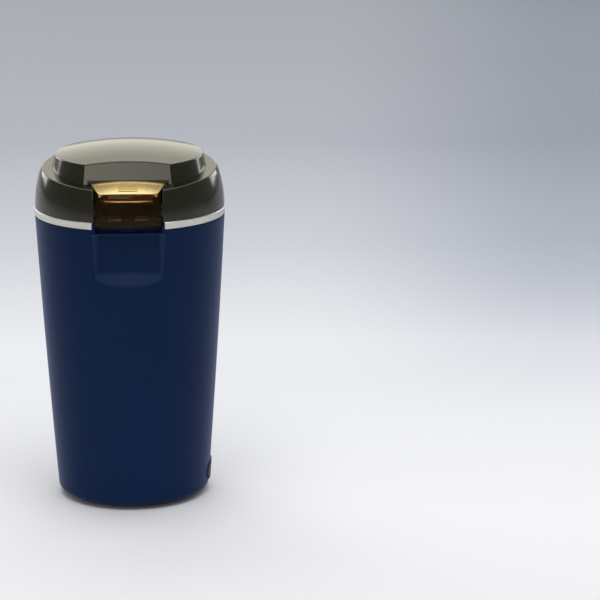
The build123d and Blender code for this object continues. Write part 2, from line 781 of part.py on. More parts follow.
# ---- bowl, gasket, bush and nut ---------------------------------------------------
with BuildPart() as grinding_bowl:
    floor_r = bowl_r - bowl_draft
    with BuildSketch(Plane.XZ) as bowl_section:
        with BuildLine():
            Polyline((bush_r + drop_gap, bowl_floor_z), (floor_r + bowl_wall, bowl_floor_z),
                     (bowl_r + bowl_wall, bowl_flange_z), (bowl_flange_r, bowl_flange_z),
                     (bowl_flange_r, bowl_rim_z), (bowl_r, bowl_rim_z),
                     (floor_r, bowl_inner_floor_z), (bush_r + drop_gap, bowl_inner_floor_z),
                     close=True)
        make_face()
        points = bowl_section.vertices()
        fillet(points.sort_by_distance((floor_r, bowl_inner_floor_z))[0], bowl_round)
        points = bowl_section.vertices()
        fillet(points.sort_by_distance((floor_r + bowl_wall, bowl_floor_z))[0], bowl_round + bowl_wall)
    revolve(axis=Axis.Z)
save(grinding_bowl.part, "grinding_bowl")


def ring_piece(inner, outer, low, height):
    """Plain ring about the axis."""
    with BuildPart() as ring:
        with BuildSketch(Plane.XY.offset(low)):
            Circle(outer)
            Circle(inner, mode=Mode.SUBTRACT)
        extrude(amount=height)
    return ring.part


save(ring_piece(bush_r + drop_gap, gasket_r, carrier_top_floor_z, gasket_h), "bowl_gasket")

with BuildPart() as bowl_bush:
    with BuildSketch(Plane.XY.offset(carrier_floor_z - bush_flange_t)):
        Circle(bush_flange_r)
    extrude(amount=bush_flange_t)
    with BuildSketch(Plane.XY.offset(carrier_floor_z)):
        Circle(bush_r)
    extrude(amount=bush_top_z - carrier_floor_z)
    chamfer(bowl_bush.edges().group_by(Axis.Z)[-1], 0.4)
    with BuildSketch(Plane.XY.offset(carrier_floor_z - bush_flange_t)):
        Circle(shaft_r + running_gap)
    extrude(amount=bush_top_z, mode=Mode.SUBTRACT)
save(bowl_bush.part, "bowl_bush")

with BuildPart() as bowl_nut:
    with BuildSketch(Plane.XY.offset(bowl_inner_floor_z)):
        RegularPolygon(nut_flats / 2, 6, major_radius=False)
        Circle(bush_r + running_gap, mode=Mode.SUBTRACT)
    extrude(amount=nut_h)
    with BuildSketch(Plane.XZ):
        with BuildLine():
            corner = nut_flats / sqrt(3)
            top = bowl_inner_floor_z + nut_h
            Polyline((0, bowl_inner_floor_z), (corner + 0.2, bowl_inner_floor_z),
                     (corner + 0.2, top - 0.7), (nut_flats / 2, top), (0, top), close=True)
        make_face()
    revolve(axis=Axis.Z, mode=Mode.INTERSECT)
save(bowl_nut.part, "bowl_nut")

with BuildPart() as shaft_seal:
    with BuildSketch(Plane.XZ):
        with BuildLine():
            Polyline((shaft_r + running_gap, bush_top_z), (seal_r, bush_top_z),
                     (seal_r, bush_top_z + seal_h * 0.5), (shaft_r + 1.0, bush_top_z + seal_h),
                     (shaft_r + running_gap, bush_top_z + seal_h), close=True)
        make_face()
    revolve(axis=Axis.Z)
save(shaft_seal.part, "shaft_seal")

# ---- shaft and blade ----------------------------------------------------------------
stud_top_z = blade_z + blade_t + cap_nut_h - 1.2
with BuildPart() as motor_shaft:
    with BuildSketch(Plane.XZ):
        with BuildLine():
            Polyline((0, shaft_low_z), (shaft_r - 0.4, shaft_low_z), (shaft_r, shaft_low_z + 0.4),
                     (shaft_r, blade_z), (stud_r, blade_z), (stud_r, stud_top_z - 0.4),
                     (stud_r - 0.4, stud_top_z), (0, stud_top_z), close=True)
        make_face()
    revolve(axis=Axis.Z)
save(motor_shaft.part, "motor_shaft")
save(ring_piece(shaft_r + running_gap, hub_r, hub_z, hub_h), "blade_hub")

with BuildPart() as grinding_blade:
    with BuildSketch(Plane.XY.offset(blade_z)):
        RectangleRounded(2 * blade_root, blade_w, 1.5)
    extrude(amount=blade_t)
    # each wing lifts, narrows and twists towards its tip
    for turn in (0, 180):
        root = Plane((0, 0, blade_z + blade_t / 2)).rotated((0, 0, turn))
        section = Plane(root.origin, x_dir=root.y_dir, z_dir=root.x_dir)
        with BuildSketch(section.offset(blade_root - 2)):
            Rectangle(blade_w - 1, blade_t)
        with BuildSketch(section.offset((blade_root + blade_reach) / 2)):
            with Locations((0, blade_lift / 2)):
                Rectangle((blade_w + blade_tip_w) / 2, blade_t, rotation=blade_twist / 2)
        with BuildSketch(section.offset(blade_reach)):
            with Locations((0, blade_lift)):
                Rectangle(blade_tip_w, blade_t * 0.6, rotation=blade_twist)
        loft()
    with BuildSketch(Plane.XY.offset(blade_z)):
        Circle(stud_r + running_gap)
    extrude(amount=blade_t, mode=Mode.SUBTRACT)
save(grinding_blade.part, "grinding_blade")

with BuildPart() as blade_nut:
    with BuildSketch(Plane.XY.offset(blade_z + blade_t)):
        RegularPolygon(cap_nut_flats / 2, 6, major_radius=False)
    extrude(amount=cap_nut_h)
    with BuildSketch(Plane.XZ):
        with BuildLine():
            low = blade_z + blade_t
            corner = cap_nut_flats / sqrt(3)
            Polyline((0, low + cap_nut_h), (0, low), (corner, low), (corner, low + cap_nut_h * 0.55))
            ThreePointArc((corner, low + cap_nut_h * 0.55), (corner * 0.72, low + cap_nut_h * 0.86),
                          (0, low + cap_nut_h))
        make_face()
    revolve(axis=Axis.Z, mode=Mode.INTERSECT)
    with BuildSketch(Plane.XY.offset(low)):
        Circle(stud_r + running_gap)
    extrude(amount=stud_top_z - low + 0.2, mode=Mode.SUBTRACT)
save(blade_nut.part, "blade_nut")

# ---- rotor ----------------------------------------------------------------------------
with BuildPart() as armature_core:
    with BuildSketch(Plane.XY.offset(stack_low_z)):
        Circle(armature_r)
        Circle(shaft_r + running_gap, mode=Mode.SUBTRACT)
        with PolarLocations((slot_root_r + armature_r) / 2 + 1, slot_count):
            Rectangle(armature_r - slot_root_r + 2, slot_w, mode=Mode.SUBTRACT)
    extrude(amount=stack_h)
save(armature_core.part, "armature_core")

with BuildPart() as armature_windings:
    with BuildSketch(Plane.XY.offset(stack_low_z - 1)):
        with PolarLocations((slot_root_r + winding_r) / 2 + 0.2, slot_count):
            Rectangle(winding_r - slot_root_r, slot_w - 0.4)
    extrude(amount=stack_h + 2)
    for z, way in ((stack_top_z, 1), (stack_low_z, -1)):
        with BuildSketch(Plane.XZ):
            with BuildLine():
                ThreePointArc((winding_r, z + way * 0.2),
                              (winding_r * 0.87, z + way * winding_over * 0.78),
                              (winding_r * 0.55, z + way * winding_over))
                Polyline((winding_r * 0.55, z + way * winding_over),
                         (shaft_r + 0.8, z + way * winding_over * 0.7),
                         (shaft_r + 0.8, z + way * 0.2), (winding_r, z + way * 0.2))
            make_face()
        revolve(axis=Axis.Z)
    with BuildSketch(Plane.XY.offset(winding_low_z)):
        Circle(commutator_r - 0.8)
        Circle(shaft_r + 0.8, mode=Mode.SUBTRACT)
    extrude(amount=stack_low_z - winding_over * 0.9 - winding_low_z)
save(armature_windings.part, "armature_windings")

with BuildPart() as commutator:
    with BuildSketch(Plane.XY.offset(commutator_low_z)):
        Circle(commutator_r)
        Circle(shaft_r + running_gap, mode=Mode.SUBTRACT)
        with PolarLocations(commutator_r, slot_count):
            Rectangle(1.6, commutator_slit, mode=Mode.SUBTRACT)
    extrude(amount=commutator_h)
save(commutator.part, "commutator")

fan_z = stack_top_z + winding_over + fan_gap
with BuildPart() as cooling_fan:
    with BuildSketch(Plane.XY.offset(fan_z)):
        Circle(fan_r)
    extrude(amount=fan_disc_t)
    with BuildSketch(Plane.XY.offset(fan_z)):
        Circle(fan_hub_r)
    extrude(amount=fan_hub_h)
    with BuildSketch(Plane.XY.offset(fan_z + fan_disc_t)):
        blade_root_r = bracket_boss_r + 1.3
        with PolarLocations((blade_root_r + fan_r) / 2, fan_blades):
            Rectangle(fan_r - blade_root_r, 1.0, rotation=24)
    extrude(amount=fan_blade_h)
    with BuildSketch(Plane.XY.offset(fan_z)):
        Circle(fan_r + 2)
        Circle(fan_r, mode=Mode.SUBTRACT)
    extrude(amount=fan_disc_t + fan_blade_h, mode=Mode.SUBTRACT)
    with BuildSketch(Plane.XY.offset(fan_z)):
        Circle(shaft_r + running_gap)
    extrude(amount=fan_hub_h, mode=Mode.SUBTRACT)
save(cooling_fan.part, "cooling_fan")

# ---- stator -----------------------------------------------------------------------------
with BuildSketch() as pole_shoes:
    Circle(bore_r + shoe_t)
    for turn in (-1, 1):
        gap = (bore_r + 4) * sin(radians(90 - shoe_angle)) * 2
        with Locations((0, turn * bore_r)):
            Rectangle(gap, 2 * (bore_r - 8), mode=Mode.SUBTRACT)

with BuildPart() as stator_core:
    with BuildSketch(Plane.XY.offset(stack_low_z)):
        RectangleRounded(stator_side, stator_side, stator_corner)
        Rectangle(2 * window_x, 2 * window_y, mode=Mode.SUBTRACT)
        add(pole_shoes.sketch)
        Rectangle(2 * window_x + 1, 2 * pole_half)
        Circle(bore_r, mode=Mode.SUBTRACT)
        with Locations((bolt_x, -bolt_y), (-bolt_x, bolt_y)):
            Circle(bolt_r + drop_gap, mode=Mode.SUBTRACT)
    extrude(amount=stack_h)
save(stator_core.part, "stator_core")

with BuildPart() as field_coils:
    for side in (-1, 1):
        with BuildSketch(Plane.YZ.offset(side * (window_x - 0.1 - coil_t / 2))):
            with Locations((0, stack_low_z + stack_h / 2)):
                inner_y = pole_half + coil_gap
                inner_z = stack_h / 2 + 0.5
                RectangleRounded(2 * (inner_y + coil_w), 2 * (inner_z + coil_over), 5)
                RectangleRounded(2 * inner_y, 2 * inner_z, 1, mode=Mode.SUBTRACT)
        extrude(amount=coil_t / 2, both=True)
save(field_coils.part, "field_coils")

# ---- motor brackets, bearings and fixings ---------------------------------------------------
boss_low_z = upper_plate_z - 1.8
boss_top_z = carrier_floor_z - bush_flange_t - 0.6
with BuildPart() as upper_bracket:
    with BuildSketch(Plane.XY.offset(upper_plate_z)):
        RectangleRounded(stator_side - 1, stator_side - 1, stator_corner)
        with PolarLocations(ear_circle_r, 3, start_angle=90):
            Circle(ear_r)
        with PolarLocations(upper_vent_r, 4):
            SlotOverall(*upper_vent_size, rotation=90, mode=Mode.SUBTRACT)
        with PolarLocations(ear_circle_r, 3, start_angle=90):
            Circle(screw_r + drop_gap, mode=Mode.SUBTRACT)
    extrude(amount=bracket_t)
    with BuildSketch(Plane.XY.offset(boss_low_z)):
        Circle(bracket_boss_r)
    extrude(amount=boss_top_z - boss_low_z)
    with BuildSketch(Plane.XY.offset(stack_top_z)):
        with GridLocations(2 * leg_centre, 2 * leg_centre, 2, 2):
            RectangleRounded(leg_side, leg_side, 1)
        Circle(stator_side * 0.66, mode=Mode.INTERSECT)
    extrude(amount=upper_plate_z - stack_top_z)
    with BuildSketch(Plane.XY.offset(boss_low_z)):
        Circle(bearing_r)
    extrude(amount=bearing_h, mode=Mode.SUBTRACT)
    with BuildSketch(Plane.XY.offset(boss_low_z)):
        Circle(shaft_r + shaft_room)
    extrude(amount=boss_top_z - boss_low_z, mode=Mode.SUBTRACT)
    with BuildSketch(Plane.XY.offset(stack_top_z)):
        with Locations((bolt_x, -bolt_y), (-bolt_x, bolt_y)):
            Circle(bolt_r)
    extrude(amount=upper_plate_z - stack_top_z - 2, mode=Mode.SUBTRACT)
save(upper_bracket.part, "upper_bracket")
save(ring_piece(shaft_r + running_gap, bearing_r, boss_low_z, bearing_h), "upper_bearing")

cup_low_z = shaft_low_z - 1.6
lower_bearing_z = shaft_low_z + 0.6
with BuildPart() as lower_bracket:
    with BuildSketch(Plane.XY.offset(lower_plate_z)):
        RectangleRounded(stator_side - 1, stator_side - 1, stator_corner)
        with PolarLocations(lower_vent_r, 4, start_angle=90):
            SlotOverall(*lower_vent_size, rotation=90, mode=Mode.SUBTRACT)
        Rectangle(stator_side - 2, lower_bar_w)
    extrude(amount=bracket_t)
    with BuildSketch(Plane.XY.offset(cup_low_z)):
        Circle(bracket_boss_r - 1)
    extrude(amount=lower_plate_z + bracket_t - cup_low_z)
    with BuildSketch(Plane.XY.offset(lower_plate_z + bracket_t)):
        with GridLocations(2 * leg_centre, 2 * leg_centre, 2, 2):
            RectangleRounded(leg_side, leg_side, 1)
        Circle(stator_side * 0.66, mode=Mode.INTERSECT)
    extrude(amount=stack_low_z - lower_plate_z - bracket_t)
    # seats of the brush holders
    with BuildSketch(Plane.XY.offset(lower_plate_z + bracket_t)):
        with Locations((brush_seat_x, 0), (-brush_seat_x, 0)):
            Rectangle(*brush_seat_size)
    extrude(amount=brush_z - brush_side / 2 - holder_wall - drop_gap / 2 - lower_plate_z - bracket_t)
    with BuildSketch(Plane.XY.offset(lower_bearing_z)):
        Circle(bearing_r)
    extrude(amount=bearing_h + 2, mode=Mode.SUBTRACT)
    with BuildSketch(Plane.XY.offset(shaft_low_z - 0.3)):
        Circle(shaft_r + shaft_room)
    extrude(amount=2, mode=Mode.SUBTRACT)
    with BuildSketch(Plane.XY.offset(lower_plate_z)):
        with Locations((bolt_x, -bolt_y), (-bolt_x, bolt_y)):
            Circle(bolt_r + drop_gap)
    extrude(amount=stack_low_z - lower_plate_z, mode=Mode.SUBTRACT)
save(lower_bracket.part, "lower_bracket")
save(ring_piece(shaft_r + running_gap, bearing_r, lower_bearing_z, bearing_h), "lower_bearing")

with BuildPart() as thrust_washers:
    for low, high in ((lower_bearing_z + bearing_h + 0.1, commutator_low_z),
                      (fan_z + fan_hub_h, boss_low_z - 0.1)):
        with BuildSketch(Plane.XY.offset(low)):
            Circle(bearing_r - 0.2)
            Circle(shaft_r + running_gap, mode=Mode.SUBTRACT)
        extrude(amount=high - low)
save(thrust_washers.part, "thrust_washers")

with BuildPart() as motor_bolts:
    for x, y in ((bolt_x, -bolt_y), (-bolt_x, bolt_y)):
        with BuildSketch(Plane.XY.offset(lower_plate_z)):
            with Locations((x, y)):
                Circle(bolt_r)
        extrude(amount=upper_plate_z - 4 - lower_plate_z)
        with BuildSketch(Plane.XY.offset(lower_plate_z - 2)):
            with Locations((x, y)):
                RegularPolygon(bolt_head_r, 6)
        extrude(amount=2)
save(motor_bolts.part, "motor_bolts")

damper_z = upper_plate_z + bracket_t
with BuildPart() as motor_mounts:
    with BuildSketch(Plane.XY.offset(damper_z)):
        with PolarLocations(ear_circle_r, 3, start_angle=90):
            Circle(ear_r - 0.3)
        with PolarLocations(ear_circle_r, 3, start_angle=90):
            Circle(screw_r + drop_gap, mode=Mode.SUBTRACT)
    extrude(amount=damper_h)
save(motor_mounts.part, "motor_mounts")
motor_screws = screw_set(ring_places(ear_circle_r, 3, 90, upper_plate_z), motor_screw_len, head_up=False)
save(motor_screws, "motor_screws")

# ---- brush gear -----------------------------------------------------------------------------
with BuildPart() as brush_holders:
    for way in (-1, 1):
        start = commutator_r + 1.6
        with BuildSketch(Plane.YZ.offset(way * start)):
            with Locations((0, brush_z)):
                Rectangle(brush_side + 2 * holder_wall + drop_gap, brush_side + 2 * holder_wall + drop_gap)
        extrude(amount=way * (holder_out - start))
        with BuildSketch(Plane.YZ.offset(way * start)):
            with Locations((0, brush_z)):
                Rectangle(brush_side + drop_gap, brush_side + drop_gap)
        extrude(amount=way * (holder_out - start - holder_wall), mode=Mode.SUBTRACT)
save(brush_holders.part, "brush_holders")

brush_in = commutator_r + running_gap
with BuildPart() as carbon_brushes:
    for way in (-1, 1):
        with BuildSketch(Plane.YZ.offset(way * (commutator_r - 1))):
            with Locations((0, brush_z)):
                Rectangle(brush_side, brush_side)
        extrude(amount=way * (brush_len + 1 + running_gap))
    with BuildSketch(Plane.XY.offset(brush_z - brush_side)):
        Circle(brush_in)
    extrude(amount=2 * brush_side, mode=Mode.SUBTRACT)
save(carbon_brushes.part, "carbon_brushes")

brush_end = brush_in + brush_len
brush_spring = coil_spring(brush_spring_r, spring_wire_r, holder_out - holder_wall - brush_end, brush_turns)
with BuildPart() as brush_springs:
    for way in (-1, 1):
        seat = Plane((way * brush_end, 0, brush_z), x_dir=(0, 1, 0), z_dir=(way, 0, 0))
        add(seat * brush_spring)
save(brush_springs.part, "brush_springs")

# ---- switch and plunger -----------------------------------------------------------------------
with BuildPart() as microswitch:
    with BuildSketch(Plane.XY.offset(switch_low_z)):
        with Locations((0, switch_y)):
            Rectangle(switch_w, switch_t)
    extrude(amount=switch_h)
    # ears for the lever's pin
    with BuildSketch(Plane.XY.offset(switch_top_z)):
        for way in (-1, 1):
            with Locations((lever_x, switch_y + way * (lever_w / 2 + 0.6))):
                Rectangle(2.2, 0.8)
    extrude(amount=2 * lever_knuckle_r + 0.6)
    with BuildSketch(Plane.XZ.offset(-switch_y - switch_t)):
        with Locations((-switch_pin_x, switch_low_z + 2.6), (switch_pin_x, switch_low_z + 2.6)):
            Circle(switch_pin_r + running_gap)
    extrude(amount=2 * switch_t, mode=Mode.SUBTRACT)
    with BuildSketch(Plane.XZ.offset(-switch_y - switch_t)):
        with Locations((lever_x, lever_z + 0.15)):
            Circle(0.4)
    extrude(amount=2 * switch_t, mode=Mode.SUBTRACT)
    with BuildSketch(Plane.XY.offset(switch_top_z)):
        with Locations((actuator_x, switch_y)):
            Rectangle(actuator_w + drop_gap, actuator_d + drop_gap)
    extrude(amount=-3.4, mode=Mode.SUBTRACT)
    with BuildSketch(Plane.XY.offset(switch_low_z)):
        with Locations((-6, switch_y), (6, switch_y)):
            Rectangle(terminal_w, terminal_t)
    extrude(amount=-terminal_len)
save(microswitch.part, "microswitch")

with BuildPart() as switch_actuator:
    with BuildSketch(Plane.XY.offset(switch_top_z - 1.6)):
        with Locations((actuator_x, switch_y)):
            Rectangle(actuator_w, actuator_d)
    extrude(amount=1.6 + 1.7)
save(switch_actuator.part, "switch_actuator")

lever_pivot = Plane((lever_x, switch_y, lever_z + 0.15), x_dir=(1, 0, 0), z_dir=(0, -1, 0))
with BuildPart() as switch_lever:
    with BuildSketch(lever_pivot):
        Circle(lever_knuckle_r)
        with Locations(Location((0, 0), lever_angle)):
            with Locations((lever_reach / 2, 0)):
                Rectangle(lever_reach, lever_t)
        Circle(0.4 + running_gap, mode=Mode.SUBTRACT)
    extrude(amount=lever_w / 2, both=True)
save(switch_lever.part, "switch_lever")

with BuildPart() as lever_pin:
    with BuildSketch(lever_pivot):
        Circle(0.4)
    extrude(amount=lever_w / 2 + 1, both=True)
save(lever_pin.part, "lever_pin")

spring_foot_z = carrier_floor_z
plunger_spring_x = -2.0
plunger_shoulder_z = carrier_floor_z + 6.4
with BuildPart() as switch_bracket:
    with BuildSketch(Plane.XY.offset(switch_low_z - 1)):
        with Locations((0, plate_y + bracket_sheet / 2)):
            Rectangle(switch_w + 4, bracket_sheet)
    extrude(amount=carrier_floor_z - switch_low_z + 1)
    with BuildSketch(Plane.XY.offset(carrier_floor_z - bracket_sheet)):
        with Locations((0, plate_y + bracket_tab / 2)):
            Rectangle(switch_w - 2, bracket_tab)
        with Locations((plunger_spring_x, plate_y - 2.3)):
            Rectangle(4.2, 4.6)
        with Locations((-switch_screw_x, switch_screw_y), (switch_screw_x, switch_screw_y)):
            Circle(pilot_r + 0.1, mode=Mode.SUBTRACT)
    extrude(amount=bracket_sheet)
    with BuildSketch(Plane.XZ.offset(-plate_y)):
        with Locations((-switch_pin_x, switch_low_z + 2.6), (switch_pin_x, switch_low_z + 2.6)):
            Circle(switch_pin_r)
    extrude(amount=switch_t - 0.2)
save(switch_bracket.part, "switch_bracket")
switch_screw_places = [(x, switch_screw_y, carrier_floor_z - bracket_sheet)
                       for x in (-switch_screw_x, switch_screw_x)]
save(screw_set(switch_screw_places, bracket_sheet + switch_screw_bite, head_up=False), "switch_screws")

tip_z = carrier_floor_z - 1.9
with BuildPart() as switch_plunger:
    with BuildSketch(Plane.XZ.offset(-switch_y)):
        with Locations((0, (plunger_shoulder_z + plunger_top_z) / 2)):
            Rectangle(plunger_w, plunger_top_z - plunger_shoulder_z)
        with Locations((plunger_tip_x - 0.8, (plunger_shoulder_z + tip_z) / 2)):
            Rectangle(plunger_tip_w, plunger_shoulder_z - tip_z)
    extrude(amount=plunger_t / 2, both=True)
    with BuildSketch(Plane.XY.offset(plunger_shoulder_z)):
        with Locations((plunger_spring_x, switch_y)):
            Circle(0.7)
    extrude(amount=-2.5)
save(switch_plunger.part, "switch_plunger")

with BuildPart() as plunger_spring:
    height = plunger_shoulder_z - spring_foot_z - 2 * 0.05
    seat = Plane((plunger_spring_x, switch_y, spring_foot_z + 0.05))
    add(seat * coil_spring(plunger_spring_r, spring_wire_r, height, plunger_turns))
save(plunger_spring.part, "plunger_spring")

# ---- lid ----------------------------------------------------------------------------------------
dome_centre = (0, dome_shift, dome_top_z - dome_r)
crown_facet_drop = tan(radians(crown_draft))


def crown_front(inset, low_z):
    """Distance of the plateau's front facet from the axis at height low_z."""
    return crown_front_y - inset - (low_z - crown_foot_z) * crown_facet_drop


def dome_form(inset):
    """Ball whose top is the plateau's slightly domed top, or its inside."""
    with BuildPart() as ball:
        with Locations(dome_centre):
            Sphere(dome_r - inset, rotation=(0, 90, 0))
    return ball.part


def crown_form(inset, low_z):
    """Plateau from low_z up: a blunt cone with a flat facet in front and rounded corners."""
    high_z = dome_top_z + 1
    low_r, high_r = (crown_r - crown_front_y + crown_front(inset, z) for z in (low_z, high_z))
    facet = Plane((0, -crown_front(inset, crown_foot_z), crown_foot_z), x_dir=(1, 0, 0),
                  z_dir=(0, -cos(radians(crown_draft)), sin(radians(crown_draft))))
    with BuildPart() as form:
        with BuildSketch(Plane.XZ):
            with BuildLine():
                Polyline((0, low_z), (low_r, low_z), (high_r, high_z), (0, high_z), close=True)
            make_face()
        revolve(axis=Axis.Z)
        split(bisect_by=facet, keep=Keep.BOTTOM)
        corners = form.faces().sort_by(Axis.Y)[0].edges().filter_by(
            lambda edge: edge.bounding_box().size.Z > high_z - low_z - 1)
        fillet(corners, crown_round)
        add(dome_form(inset), mode=Mode.INTERSECT)
        fillet(form.faces().filter_by(GeomType.SPHERE)[0].edges(), crown_edge)
    return form.part


with BuildPart() as lid_form:
    with BuildSketch(Plane.XZ):
        with BuildLine():
            add(lid_side(0))
        make_face()
    revolve(axis=Axis.Z)
    split(bisect_by=lid_tilt, keep=Keep.BOTTOM)
    split(bisect_by=Plane.XY.offset(lid_low_z), keep=Keep.TOP)
    fillet(lid_form.faces().sort_by(Axis.Z)[-1].edges(), crease_round)
    add(crown_form(0, crease_z - 8))

# chamber over the bowl: a tube below, the hollow of the plateau above the shelf
with BuildPart() as crown_hollow:
    add(crown_form(lid_wall, crown_foot_z))
    split(bisect_by=lid_tilt.offset(-shelf_sink), keep=Keep.TOP)

with BuildPart() as chamber:
    # round below the well's floor, then with a flat in front that follows the plateau's facet
    ledge_z = well_floor_z - well_floor_t
    for low_z, high_z, flat_y in ((lid_low_z - 1, ledge_z, tube_r),
                                  (ledge_z, crown_foot_z, crown_front_y - lid_wall),
                                  (crown_foot_z, dome_top_z, crown_front(lid_wall, dome_top_z))):
        with BuildSketch(Plane.XY.offset(low_z)):
            Circle(tube_r)
            with Locations((0, tube_r - flat_y)):
                Rectangle(2 * tube_r, 2 * tube_r, mode=Mode.INTERSECT)
        extrude(amount=high_z - low_z)
    add(crown_hollow.part)
    add(dome_form(lid_wall), mode=Mode.INTERSECT)

# hollow between the chamber's tube and the side wall, closed beside the button
with BuildPart() as side_hollow:
    with BuildSketch(Plane.XZ):
        with BuildLine():
            add(lid_side(lid_wall))
        make_face()
    revolve(axis=Axis.Z)
    split(bisect_by=lid_tilt.offset(-lid_wall), keep=Keep.BOTTOM)
    with BuildSketch(Plane.XY.offset(lid_low_z - 1)):
        Circle(tube_out_r)
    extrude(amount=lid_cap_z, mode=Mode.SUBTRACT)
    with BuildSketch(Plane.XY.offset(lid_low_z - 1)):
        with BuildLine():
            Polyline(*well_outline(lid_slot_half + lid_rib_t, button_back_half + drop_gap + lid_rib_t,
                                   button_back_y - 2 * lid_rib_t), close=True)
        make_face()
    extrude(amount=lid_cap_z, mode=Mode.SUBTRACT)

with BuildPart() as lid_cover:
    add(lid_form.part)
    add(chamber.part, mode=Mode.SUBTRACT)
    add(side_hollow.part, mode=Mode.SUBTRACT)
    # well that the button sits in
    with BuildSketch(Plane.XY.offset(well_floor_z)):
        with BuildLine():
            Polyline(*well_outline(lid_slot_half, button_back_half + 2 * drop_gap,
                                   button_back_y - 2 * drop_gap), close=True)
        make_face()
    extrude(amount=crown_foot_z - well_floor_z, mode=Mode.SUBTRACT)
    # slot in front of it, open below for the button's legs
    for from_y, high_z in ((tube_out_r + drop_gap, well_floor_z + 0.5), (crown_front_y, tube_low_z)):
        with BuildSketch(Plane.XY.offset(lid_low_z - 1)):
            with Locations((0, -lid_r - 1)):
                Rectangle(2 * lid_slot_half, 2 * (lid_r + 1 - from_y))
        extrude(amount=high_z - lid_low_z + 1, mode=Mode.SUBTRACT)
    slot_edges = lid_cover.edges().filter_by(
        lambda edge: abs(abs(edge.center().X) - lid_slot_half) < 0.01
        and edge.bounding_box().size.Z > well_floor_t and edge.center().Y < -button_waist_y - lid_rib_t)
    fillet(slot_edges, slot_round)
    # room for the bowl's flange and for the seal under the tube
    for radius, high_z in ((bowl_flange_r + drop_gap, bowl_rim_z + drop_gap),
                           (tube_out_r + drop_gap, tube_low_z)):
        with BuildSketch(Plane.XY.offset(lid_low_z - 1)):
            Circle(radius)
        extrude(amount=high_z - lid_low_z + 1, mode=Mode.SUBTRACT)
save(lid_cover.part, "lid_cover")
save(ring_piece(tube_r, tube_out_r, tube_low_z - seal_ring_h, seal_ring_h), "lid_seal")

# ---- button ---------------------------------------------------------------------------------------
plate_taper = (plate_back_half - plate_front_half) / (plate_front_y - button_back_y)


def plate_z(y):
    """Height of the thumb plate's slope at depth y in front of the axis."""
    return plate_back_z - (y - button_back_y) * plate_rise


def slope_plane(drop):
    """Plane of the thumb plate, lowered by drop."""
    angle = radians(plate_slope)
    return Plane((0, -button_back_y, plate_back_z - drop), x_dir=(1, 0, 0),
                 z_dir=(0, -sin(angle), cos(angle)))


def plate_half(y):
    """Half width of the thumb plate at depth y in front of the axis."""
    return plate_back_half - (y - button_back_y) * plate_taper


def plate_outline(extra, front_y):
    """Plan of the thumb plate: a trapezoid, narrow in front."""
    front_half = plate_half(front_y) + extra
    return [(-plate_back_half - extra, -button_back_y), (plate_back_half + extra, -button_back_y),
            (front_half, -front_y), (-front_half, -front_y)]


def plate_loft(inset, drop, depth):
    """Body under the plate's crowned top, lowered by drop, or above it if the depth is negative."""
    with BuildPart() as form:
        for y, crown in ((button_back_y + inset, plate_crown), (plate_front_y - inset, plate_front_crown)):
            half = plate_half(y) - inset
            z = plate_z(y) - drop
            with BuildSketch(Plane.XZ.offset(y)):
                with BuildLine():
                    ThreePointArc((-half, z), (0, z + crown), (half, z))
                    Polyline((half, z), (half, z - depth), (-half, z - depth), (-half, z))
                make_face()
        loft(ruled=True)
    return form.part


with BuildPart() as button_form:
    with BuildSketch(Plane.XZ):
        with BuildLine():
            add(lid_side(button_inset))
        make_face()
    revolve(axis=Axis.Z)
    split(bisect_by=lid_tilt, keep=Keep.BOTTOM)
    with BuildSketch(Plane.XY.offset(button_low_z)):
        with BuildLine():
            Polyline(*well_outline(button_half, button_back_half, button_back_y), close=True)
        make_face()
    extrude(amount=lid_cap_z, mode=Mode.INTERSECT)
    # the plate's field: level with the plate, its flanks rise to the lid's shelf
    with BuildSketch(slope_plane(plate_proud)):
        reach = (lid_r + 1 - button_back_y) / cos(radians(plate_slope))
        with BuildLine():
            Polyline((-plate_back_half, 0), (plate_back_half, 0), (plate_half(lid_r + 1), -reach),
                     (-plate_half(lid_r + 1), -reach), close=True)
        make_face()
    extrude(amount=plate_back_z - plate_z(lid_r), taper=-45, mode=Mode.SUBTRACT)
    uprights = button_form.edges().filter_by(
        lambda edge: abs(abs(edge.center().X) - button_half) < 0.01
        and edge.bounding_box().size.Z > plate_t and edge.center().Y < -button_waist_y)
    fillet(uprights, button_edge)

with BuildPart() as button_hollow:
    with BuildSketch(Plane.XY.offset(button_low_z - 1)):
        with BuildLine():
            Polyline(*well_outline(button_half - button_side_wall, button_back_half - button_side_wall,
                                   button_back_y - 1), close=True)
        make_face()
    extrude(amount=lid_cap_z)
    with BuildSketch(Plane.XY.offset(button_low_z - 1)):
        Circle(lid_r - button_inset - button_wall)
    extrude(amount=lid_cap_z, mode=Mode.INTERSECT)
    split(bisect_by=slope_plane(plate_t + button_roof), keep=Keep.BOTTOM)

with BuildPart() as press_button:
    add(button_form.part)
    add(button_hollow.part, mode=Mode.SUBTRACT)
    # behind the front wall the sides stop above the well's floor
    skirt_stop_y = tube_out_r + skirt_stop_gap
    with BuildSketch(Plane.XY.offset(button_low_z - 1)):
        with Locations((0, -skirt_stop_y / 2)):
            Rectangle(3 * button_back_half, skirt_stop_y)
    extrude(amount=well_floor_z + travel + 0.5 - button_low_z + 1, mode=Mode.SUBTRACT)
    # seat of the thumb plate and the slot for its apron
    with BuildSketch(Plane.XY.offset(button_low_z)):
        with BuildLine():
            Polyline(*plate_outline(rest_gap, plate_front_y + rest_gap), close=True)
        make_face()
    seat = extrude(amount=lid_cap_z, mode=Mode.PRIVATE)
    add(split(seat, bisect_by=slope_plane(plate_t), keep=Keep.TOP, mode=Mode.PRIVATE),
        mode=Mode.SUBTRACT)
    with BuildSketch(Plane.XY.offset(plate_z(apron_y) - apron_drop - 1)):
        with Locations((0, -apron_y)):
            Rectangle(2 * (apron_half + drop_gap), apron_t + 2 * drop_gap)
    extrude(amount=apron_drop + 3, mode=Mode.SUBTRACT)
